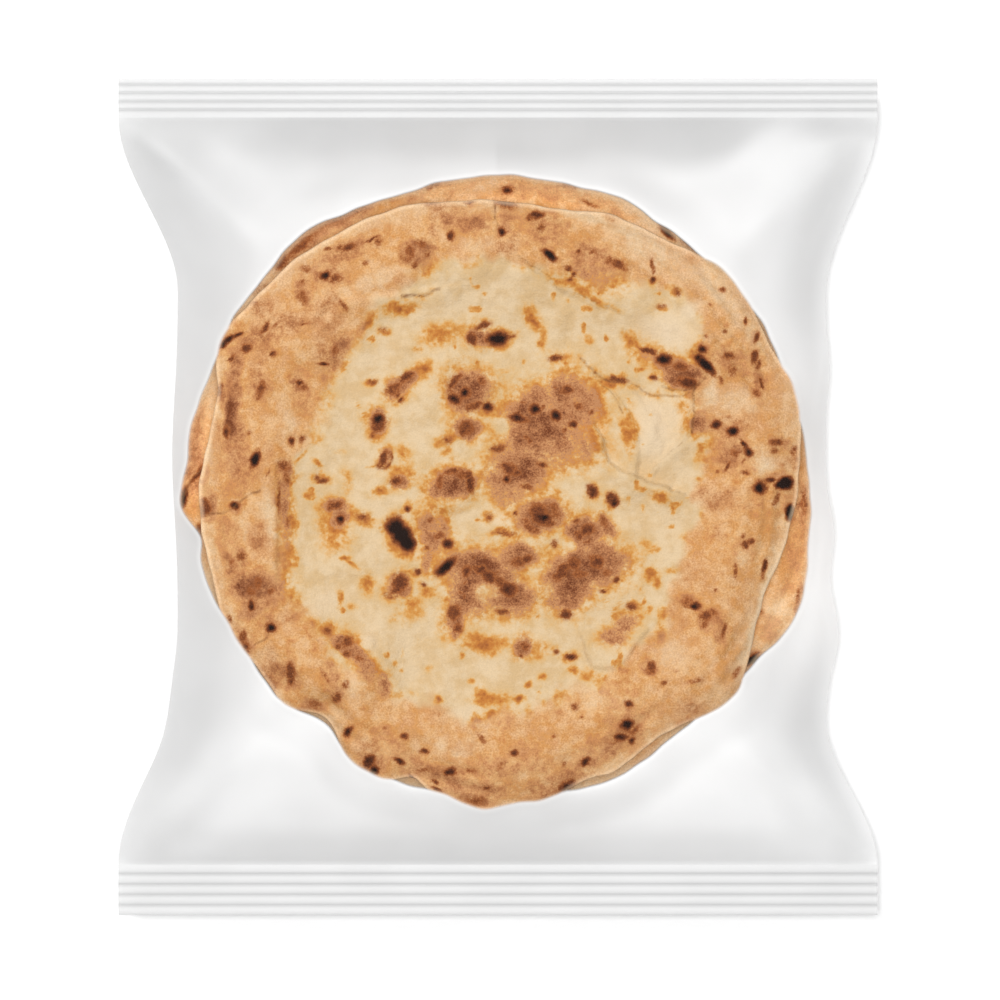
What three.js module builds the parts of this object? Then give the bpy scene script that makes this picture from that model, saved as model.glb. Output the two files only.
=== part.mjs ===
// A sealed pillow bag of clear film, lying on its back, with two ready-baked pizza bases stacked inside it.
// A shut bag can't be opened or looked into without cutting it, so it is one solid: its faces are the film as it lies
// over the bread, is puffed up by the air round it, and runs flat into a crimped seal at each end.
//
// Frame: millimetres, +Z up, +Y towards the narrower end seal. The origin is the middle of the bag's footprint, on the
// surface that it lies on.

import * as THREE from "three";

// ---- Driving dimensions, in millimetres and degrees ----

const BAG_WIDTH = 365; // across the end seals
const BAG_LENGTH = 402; // over both end seals
const SEAM_HEIGHT = 12; // where the upper and lower film meet, all round the bag
const EDGE_THICKNESS = 0.9; // of the two films, where they are pressed flat
const FILM_GAP = 0.8; // from the bread to the outside of the film that lies on it

const TOP_SEAL = { length: 18.7, pitch: 4.05 };
const BOTTOM_SEAL = { length: 24.5, pitch: 5.0 };
const CRIMP_DEPTH = 0.9; // from the crest of a crimp to its groove

// A filled bag draws in at its sides. Each side comes in by pinch, over the reach from either end seal, and the stack
// presses it out again here and there: bulges are [y, half width, height].
const LEFT_SIDE = { pinch: 28.6, topReach: 84, bottomReach: 88, bulges: [[20, 40, 2.8], [-96, 20, 3.2]] };
const RIGHT_SIDE = {
  pinch: 25,
  topReach: 86,
  bottomReach: 70,
  bulges: [[61, 16, 1.9], [-18, 18, 4.2], [-66, 22, 6.2]],
};

// Each base is a round flat bread with a broad, low rim. The heights are above the surface that the bag lies on: of
// the underside, of the widest point of the side, of the top at the middle and of the crest of the rim. The upper base
// rests on the lower one's rim. The edges are uneven: bumps are [angle, half width, height], in degrees and
// millimetres, and a hollow has a height below zero.
const LOWER_BASE = {
  centre: [-1.0, 5.3],
  radius: 149.5,
  side: 6.5,
  middle: 9.5,
  crest: 16,
  bumps: [
    [55, 16, -1.5], [92, 6, 1.5], [109, 6, -2.5], [128, 7, 3.5], [160, 8, -1.5], [181, 5, 2],
    [189, 4, -4.5], [291, 6, 3], [310, 10, -2.5], [338, 11, 7],
  ],
};
const UPPER_BASE = {
  centre: [1.9, -3.8],
  radius: 143.5,
  side: 22,
  middle: 23.5,
  crest: 31,
  bumps: [
    [21, 8, 7], [45, 15, 11], [68, 9, 3.5], [94, 10, 2], [113, 12, 7.5], [136, 14, 10.5], [150, 7, 9],
    [174, 7, 1.5], [215, 7, -3], [231, 6, -11], [252, 3, -5.5], [266, 4, 3], [287, 6, -4], [303, 12, -9],
    [321, 4.5, 3], [340, 13, -10.5], [354, 8, -3],
  ],
};
const RIM_CREST = 0.83; // where the rim is highest, as a share of the radius
const RIM_REACH = 0.14; // how far it swells on each side of that
const EDGE_ROLL = 0.86; // from here out the top rolls over into the side
const RESTING_SHARE = 0.9; // of the lower base's radius that lies flat on the surface below

// Broad swells of the upper base that lift the film: [x, y, reach, height].
const SWELLS = [
  [118, 92, 24, 2.6], [74, 34, 20, 2.4], [-22, 3, 13, 1.8], [-108, 44, 26, 1.6], [-70, -78, 22, 1.8],
  [20, 118, 30, 1.4], [112, -62, 26, 2.0], [12, -132, 26, 1.4],
];

// The film: its weight and the grip of the bread pull it down over the bases, and the trapped air lifts it round them.
// Both are curvatures, per millimetre.
const CLING = 0.012;
const PUFF = 0.011;
// Soft folds that run from each corner of the bag towards the bread, beside each other: distance from the corner's
// diagonal, half width and height.
const CORNER_FOLDS = [[-14, 7, -1.6], [2, 6, 2.2], [17, 8, -1.4]];
const FOLD_START = 8; // from the corner, where the folds begin to rise
const FOLD_END = 62; // where they begin to die out
const FOLD_MARGIN = 14; // from the bag's edge, over which they grow to their height

// ---- Resolution ----

const COLUMNS = 54; // across the bag's body
const ROWS = 58; // from seal to seal
const SEAL_COLUMNS = 6; // across an end seal, which is straight from side to side
const CRIMP_STEPS = 6; // straight stretches that make one crimp
const UNDERSIDE_RINGS = 5; // from the bag's edge to the flat patch that it lies on
const SWEEPS = 500; // of the relaxation that stretches the film
const OVER_RELAX = 1.85;

const TOP_SEAM = BAG_LENGTH / 2 - TOP_SEAL.length;
const BOTTOM_SEAM = -BAG_LENGTH / 2 + BOTTOM_SEAL.length;

const smoothStep = (t) => THREE.MathUtils.smoothstep(t, 0, 1);
const bell = (distance, reach) => Math.exp(-((distance / reach) ** 2));

// ---- The bread ----

// The base's outer radius in a direction, in radians.
function edgeRadius(base, angle) {
  const degrees = THREE.MathUtils.radToDeg(angle);
  let radius = base.radius;
  for (const [at, reach, height] of base.bumps) {
    const away = THREE.MathUtils.euclideanModulo(degrees - at + 180, 360) - 180;
    radius += height * bell(away, reach);
  }
  return radius;
}

// The height of the base's top over a point, or 0 beside the base.
function crustHeight(base, x, y) {
  const [dx, dy] = [x - base.centre[0], y - base.centre[1]];
  const share = Math.hypot(dx, dy) / edgeRadius(base, Math.atan2(dy, dx));
  if (share > 1) return 0;
  const swollen = base.middle + (base.crest - base.middle) * bell(share - RIM_CREST, RIM_REACH);
  const outward = Math.max(0, (share - EDGE_ROLL) / (1 - EDGE_ROLL));
  return base.side + (swollen - base.side) * Math.sqrt(1 - outward * outward);
}

function stackHeight(x, y) {
  let upper = crustHeight(UPPER_BASE, x, y);
  if (upper > 0) {
    for (const [atX, atY, reach, height] of SWELLS) upper += height * bell(Math.hypot(x - atX, y - atY), reach);
  }
  return Math.max(crustHeight(LOWER_BASE, x, y), upper);
}

// ---- The bag's outline ----

function sideInset(side, y) {
  const drawnIn = smoothStep((TOP_SEAM - y) / side.topReach) * smoothStep((y - BOTTOM_SEAM) / side.bottomReach);
  let inset = side.pinch;
  for (const [at, reach, height] of side.bulges) inset -= height * bell(y - at, reach);
  return inset * drawnIn;
}

// A point of the bag's footprint: across runs from 0 at the left side to 1 at the right, along from one end seal to
// the other.
function footprint(across, along) {
  const y = THREE.MathUtils.lerp(BOTTOM_SEAM, TOP_SEAM, along);
  const left = -BAG_WIDTH / 2 + sideInset(LEFT_SIDE, y);
  const right = BAG_WIDTH / 2 - sideInset(RIGHT_SIDE, y);
  const width = right - left;
  return { x: left + width * across, y, width, fromSide: width * Math.min(across, 1 - across) };
}

// ---- The upper film ----

// The height that the corner folds add at a point of the footprint. They run in from the corners at 45 degrees, and
// die out at the bag's edge and before the bread.
function foldHeight(x, y, fromSide) {
  const cornerY = y > 0 ? TOP_SEAM : -BOTTOM_SEAM;
  const [inX, inY] = [BAG_WIDTH / 2 - Math.abs(x), cornerY - Math.abs(y)];
  const along = (inX + inY) / Math.SQRT2;
  const beside = (inX - inY) / Math.SQRT2;
  const window = smoothStep((along - FOLD_START) / 30) * (1 - smoothStep((along - FOLD_END) / 45));
  const edges = smoothStep(fromSide / FOLD_MARGIN) * smoothStep(inY / FOLD_MARGIN);
  let height = 0;
  for (const [at, reach, rise] of CORNER_FOLDS) height += rise * bell(beside - at, reach);
  return height * window * edges;
}

// Stretches the film over the stack like a membrane: each point settles at the mean of its neighbours, less the load,
// and never below the bread. Returns the film's points as rows, from the bottom seam to the top one.
function stretchFilm() {
  const stride = COLUMNS + 1;
  const film = [];
  for (let row = 0; row <= ROWS; row++) {
    for (let column = 0; column <= COLUMNS; column++) {
      const { x, y, width, fromSide } = footprint(column / COLUMNS, row / ROWS);
      const bread = stackHeight(x, y);
      film.push({
        x,
        y,
        fromSide,
        z: SEAM_HEIGHT + EDGE_THICKNESS / 2,
        floor: bread > 0 ? bread + FILM_GAP : 0,
        load: bread > 0 ? CLING : -PUFF,
        acrossPull: (COLUMNS / width) ** 2,
        onEdge: row === 0 || row === ROWS || column === 0 || column === COLUMNS,
      });
    }
  }
  const alongPull = (ROWS / (TOP_SEAM - BOTTOM_SEAM)) ** 2;
  for (let sweep = 0; sweep < SWEEPS; sweep++) {
    film.forEach((point, at) => {
      if (point.onEdge) return;
      const across = point.acrossPull * (film[at - 1].z + film[at + 1].z);
      const along = alongPull * (film[at - stride].z + film[at + stride].z);
      const settled = (across + along - point.load) / (2 * (point.acrossPull + alongPull));
      point.z = Math.max(point.floor, point.z + OVER_RELAX * (settled - point.z));
    });
  }
  const rows = [];
  for (let row = 0; row <= ROWS; row++) {
    rows.push(
      film.slice(row * stride, (row + 1) * stride).map(({ x, y, z, floor, fromSide }) => {
        return new THREE.Vector3(x, y, floor > 0 ? z : z + foldHeight(x, y, fromSide));
      }),
    );
  }
  return rows;
}

// ---- The skin: points, and faces of three points each ----

class Skin {
  points = [];
  faces = [];

  addRow(points) {
    return points.map((point) => this.points.push(point) - 1);
  }

  // Joins two rows of points that run the same way, of any lengths. The faces look up where both rows run towards +X
  // and the far one lies towards +Y of the near one.
  join(near, far) {
    let [i, j] = [0, 0];
    const [nearEnd, farEnd] = [near.length - 1, far.length - 1];
    while (i < nearEnd || j < farEnd) {
      if (j === farEnd || (i < nearEnd && (i + 1) / nearEnd <= (j + 1) / farEnd)) {
        this.faces.push(near[i], near[i + 1], far[j]);
        i += 1;
      } else {
        this.faces.push(near[i], far[j + 1], far[j]);
        j += 1;
      }
    }
  }

  joinAll(rows) {
    for (let k = 1; k < rows.length; k++) this.join(rows[k - 1], rows[k]);
  }
}

// The way once round a stack of rows, anticlockwise from above, ending where it starts.
function perimeter(rows) {
  const between = rows.slice(1, -1);
  const right = between.map((row) => row.at(-1));
  const left = between.map((row) => row[0]).reverse();
  return [...rows[0], ...right, ...rows.at(-1).toReversed(), ...left, rows[0][0]];
}

// ---- The end seals ----

// The points of a crimped strip: rounded crests with narrow grooves between them, pressed into both films at once. It
// runs outwards from the seam at seamY, and face is 1 for its upper face or -1 for its lower one.
function sealRows(seal, seamY, outward, face) {
  const steps = Math.round((seal.length / seal.pitch) * CRIMP_STEPS);
  return Array.from({ length: steps }, (_, step) => {
    const along = (seal.length * (step + 1)) / steps;
    const crest = Math.abs(Math.sin((Math.PI * along) / seal.pitch)) ** 0.6;
    const z = SEAM_HEIGHT + CRIMP_DEPTH * (crest - 0.5) + (face * EDGE_THICKNESS) / 2;
    return Array.from({ length: SEAL_COLUMNS + 1 }, (_, column) => {
      return new THREE.Vector3(BAG_WIDTH * (column / SEAL_COLUMNS - 0.5), seamY + outward * along, z);
    });
  });
}

// ---- The underside ----

// The flat patch that the bag lies on has the lower base's shape, a little inside its edge.
function restingPoint(border) {
  const [centreX, centreY] = LOWER_BASE.centre;
  const angle = Math.atan2(border.y - centreY, border.x - centreX);
  const radius = LOWER_BASE.radius * RESTING_SHARE;
  return new THREE.Vector3(centreX + radius * Math.cos(angle), centreY + radius * Math.sin(angle), 0);
}

// The lower film leaves the bag's edge, which is a closed row of points, and curves down to the resting patch.
function addUnderside(skin, edge) {
  const border = edge.slice(0, -1).map((at) => skin.points[at]);
  let outer = edge;
  for (let step = 1; step <= UNDERSIDE_RINGS; step++) {
    const inward = step / UNDERSIDE_RINGS;
    const ring = skin.addRow(
      border.map((point) => {
        const inner = point.clone().lerp(restingPoint(point), inward);
        inner.z = point.z * (1 - inward) ** 2;
        return inner;
      }),
    );
    const inner = [...ring, ring[0]];
    skin.join(inner, outer);
    outer = inner;
  }
  skin.join(skin.addRow([new THREE.Vector3(...LOWER_BASE.centre, 0)]), outer);
}

// ---- The bag ----

function bagGeometry() {
  const skin = new Skin();
  const film = stretchFilm();
  // The lower film meets the upper one all round the body, and has no other points there.
  const lowered = (point) => new THREE.Vector3(point.x, point.y, SEAM_HEIGHT - EDGE_THICKNESS / 2);
  const lowerFilm = film.map((row, k) => (k === 0 || k === ROWS ? row : [row[0], row.at(-1)]).map(lowered));

  const upper = {
    bottomSeal: sealRows(BOTTOM_SEAL, BOTTOM_SEAM, -1, 1).reverse().map((row) => skin.addRow(row)),
    body: film.map((row) => skin.addRow(row)),
    topSeal: sealRows(TOP_SEAL, TOP_SEAM, 1, 1).map((row) => skin.addRow(row)),
  };
  const lower = {
    bottomSeal: sealRows(BOTTOM_SEAL, BOTTOM_SEAM, -1, -1).reverse().map((row) => skin.addRow(row)),
    body: lowerFilm.map((row) => skin.addRow(row)),
    topSeal: sealRows(TOP_SEAL, TOP_SEAM, 1, -1).map((row) => skin.addRow(row)),
  };
  const upperRows = [...upper.bottomSeal, ...upper.body, ...upper.topSeal];
  const lowerRows = [...lower.bottomSeal, ...lower.body, ...lower.topSeal];

  skin.joinAll(upperRows);
  skin.joinAll([...lower.bottomSeal, lower.body[0]].reverse());
  skin.joinAll([lower.body.at(-1), ...lower.topSeal].reverse());
  skin.join(perimeter(lowerRows), perimeter(upperRows));
  addUnderside(skin, perimeter(lower.body));

  const geometry = new THREE.BufferGeometry().setFromPoints(skin.points);
  geometry.setIndex(skin.faces);
  geometry.computeVertexNormals();
  return geometry;
}

const film = new THREE.MeshStandardMaterial({
  color: new THREE.Color(0.93, 0.93, 0.93),
  roughness: 0.25,
  metalness: 0,
  transparent: true,
  opacity: 0.6,
});

const bag = new THREE.Mesh(bagGeometry(), film);
bag.name = "sealed_bag";

const pack = new THREE.Group();
pack.add(bag);

export default pack;
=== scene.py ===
"""A sealed pillow bag of clear film, lying flat, with two ready-baked pizza bases stacked in it.

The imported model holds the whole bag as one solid. This script replaces it with what the eye meets: the film, as one
closed skin that lies over the bread, and the two bases inside it. Lengths are in millimetres until a mesh is made.
"""

import math

import bpy
import numpy as np
from bpy.props import FloatProperty, FloatVectorProperty, IntProperty, PointerProperty
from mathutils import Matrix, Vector


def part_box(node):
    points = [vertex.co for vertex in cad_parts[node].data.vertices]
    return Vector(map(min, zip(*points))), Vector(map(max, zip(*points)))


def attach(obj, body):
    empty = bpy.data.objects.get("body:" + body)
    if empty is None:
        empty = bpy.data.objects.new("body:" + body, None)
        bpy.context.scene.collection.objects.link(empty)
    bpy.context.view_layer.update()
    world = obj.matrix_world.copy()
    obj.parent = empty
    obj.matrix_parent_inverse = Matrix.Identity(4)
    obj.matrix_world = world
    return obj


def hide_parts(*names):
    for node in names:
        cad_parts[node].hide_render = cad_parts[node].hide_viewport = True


bl_info = {
    "name": "Pizza Base Pack",
    "version": (1, 0, 0),
    "blender": (4, 5, 0),
    "location": "View3D > Sidebar > Pizza Pack",
    "description": "Makes two pizza bases in a sealed bag of clear film",
    "category": "Add Mesh",
}

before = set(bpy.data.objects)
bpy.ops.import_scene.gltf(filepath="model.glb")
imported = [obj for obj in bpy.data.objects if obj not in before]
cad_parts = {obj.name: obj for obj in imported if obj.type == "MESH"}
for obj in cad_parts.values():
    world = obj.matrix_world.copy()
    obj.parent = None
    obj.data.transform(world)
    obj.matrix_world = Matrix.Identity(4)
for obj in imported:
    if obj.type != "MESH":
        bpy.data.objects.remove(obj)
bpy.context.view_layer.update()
MM = 0.001
BAG_NODE = "sealed_bag"
(BAG_LEFT, BAG_BOTTOM, _), (BAG_RIGHT, BAG_TOP, _) = [
    [length / MM for length in corner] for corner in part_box(BAG_NODE)
]
BAG_WIDTH = BAG_RIGHT - BAG_LEFT

# The photograph looks straight down on the pack. A place on the bread is given by the pixel that shows it.
PIXEL = 0.48  # millimetres of the pack that one pixel covers
BAG_MIDDLE = (498.0, 497.0)  # the pixel over the middle of the bag
PHOTO_SIZE = 1000  # pixels each way


def place(pixel_x, pixel_y):
    """Millimetres from the middle of the bag to the place that a pixel shows."""
    return (pixel_x - BAG_MIDDLE[0]) * PIXEL, (BAG_MIDDLE[1] - pixel_y) * PIXEL


# ---- The bag ----

SEAM_HEIGHT = 12.0  # of the seals and the sides above the surface that the bag lies on
TOP_SEAL = {"length": 18.7, "pitch": 4.05}
BOTTOM_SEAL = {"length": 24.5, "pitch": 5.0}
TOP_SEAM = BAG_TOP - TOP_SEAL["length"]
BOTTOM_SEAM = BAG_BOTTOM + BOTTOM_SEAL["length"]
# Each side draws in by pinch, over its reach from either seam, and bulges again: (y, half width, height).
LEFT_SIDE = {"pinch": 28.6, "top": 84.0, "bottom": 88.0, "bulges": [(20, 40, 2.8), (-96, 20, 3.2)]}
RIGHT_SIDE = {"pinch": 25.0, "top": 86.0, "bottom": 70.0,
              "bulges": [(61, 16, 1.9), (-18, 18, 4.2), (-66, 22, 6.2)]}
# Soft folds from each corner towards the bread: distance from the corner's diagonal, half width and height.
CORNER_FOLDS = [(-15, 9, -0.9), (3, 9, 1.2), (20, 10, -0.8)]
FOLD_START = 8.0  # from the corner, where the folds begin to rise
FOLD_RISE = 30.0  # over which they rise
FOLD_END = 62.0  # where they begin to die out
FOLD_FALL = 45.0  # over which they die out
FOLD_MARGIN = 14.0  # from the bag's edge, over which they grow to their height
CRIMP_POWER = 0.45  # a crimp is a sine raised to this power, less CRIMP_DROP
CRIMP_DROP = 0.6
RESTING_SHARE = 0.9  # of the lower base's radius, over which the bag lies flat
TUCK_SHARE = 1.02  # of the lower base's radius, out to which the lower film stays under the bread
# The bread's grip pulls the film down on it, and the trapped air lifts it beside: curvatures, per millimetre.
CLING = 0.012
PUFF = 0.016
SWEEPS = 700  # over the membrane, until it has settled
OVER_RELAX = 1.93
BORDER_POINTS = 400  # on each of the bag's four edges
# The film's painted shade, from white at 0 to grey at 1, standing in for how the light falls on it: level film, which
# is painted paler to the right and to two corners, film that turns down to the seams, and the seals with their
# grooves.
LEVEL_PAINTED_SHADE = 0.362
LEAN = 0.00100  # per millimetre
TWIST = 3.0e-6  # per square millimetre
TURNED_PAINTED_SHADE = 0.62
# The seals are painted grey, and their grooves darker, as painted shade.
SEAL_PAINTED_SHADE = 0.56
GROOVE_PAINTED_SHADE = 0.42  # how much darker a groove is
GROOVE_WIDTH = 0.8
# Distances outwards from the bread's edge: where the film begins to turn milky, and between which a painted lightening
# of the film fades.
MILKY_START = -2.0
PALE_START = -1.0
PALE_END = 2.0
# Painted light: how much lighter the film is painted over the bread, fading out just beside it.
FILM_EDGE_PAINTED_LIGHT = 0.3  # how much lighter the film's tone is on the bread
LOWER_FILM_CLEARANCE = 1.5  # how much further from the bread the lower film counts as being

# ---- The two bases ----

# Bumps of the edge are (angle, half width, height), in degrees and millimetres. Heights are above the surface that
# the bag lies on.
LOWER_BASE = {
    "centre": (-1.0, 5.3), "radius": 149.9, "seed": 11,
    "floor": (0.7, 0.7), "side": 6.5, "middle": 9.5, "crest": 16.0,
    "bumps": [(55, 16, -1.5), (66, 6, 2.4), (92, 6, -0.4), (109, 6, -2.5), (128, 7, 3.5), (160, 8, -1.5),
              (183, 5, 3.5), (190, 4, -4.5), (212, 17, -5.6), (234, 7, -7.5), (291, 6, 3), (310, 10, -2.5),
              (338, 11, 7), (352, 12, 1.9)],
}
UPPER_BASE = {
    "centre": (1.9, -3.8), "radius": 143.8, "seed": 23,
    "floor": (14.5, 16.3), "side": 22.0, "middle": 22.8, "crest": 29.8,
    "bumps": [(21, 8, 7), (45, 15, 11), (68, 9, 3.5), (94, 10, 2), (113, 12, 7.5), (136, 14, 10.5), (150, 7, 9),
              (174, 7, 1.5), (215, 7, -3), (231, 6, -11), (252, 3, -5.5), (258, 4, -2.2), (266, 4, 3), (287, 6, -4),
              (303, 12, -9), (321, 4.5, 3), (340, 13, -10.5), (354, 8, -3)],
}
RIM_CREST = 0.83  # shares of the radius: where the rim is highest, and how far it reaches
RIM_REACH = 0.14
EDGE_ROLL = 0.86  # from here out the top rolls over into the side
ROLL_POWER = 2.6
UNDER_ROLL = 0.89  # from here out the underside rises to the side
EDGE_WAVES = [(13, 0.35), (19, 0.30), (31, 0.22), (47, 0.16), (71, 0.10)]  # waves round the edge, and their heights
# Swells of the upper base: (x, y, reach, height).
SWELLS = [(118, 92, 24, 2.6), (74, 34, 20, 2.4), (-22, 3, 13, 1.8), (-108, 44, 26, 1.6), (-70, -78, 22, 1.8),
          (20, 118, 30, 1.4), (112, -62, 26, 2.0), (12, -132, 26, 1.4)]
DOUGH_WAVES = [(46.0, 1.2), (15.0, 0.95), (4.5, 0.20)]  # unevenness of the top: (size, height)
WRINKLE_PITCH = 7.5
WRINKLE_HEIGHT = 0.40
FOLD_DROP = 1.3  # over which a fold falls on its steep side
STACK_GAP = 0.3  # between the two bases
LEAST_DOUGH = 0.8  # the thinnest that the upper base gets over the lower one

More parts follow.
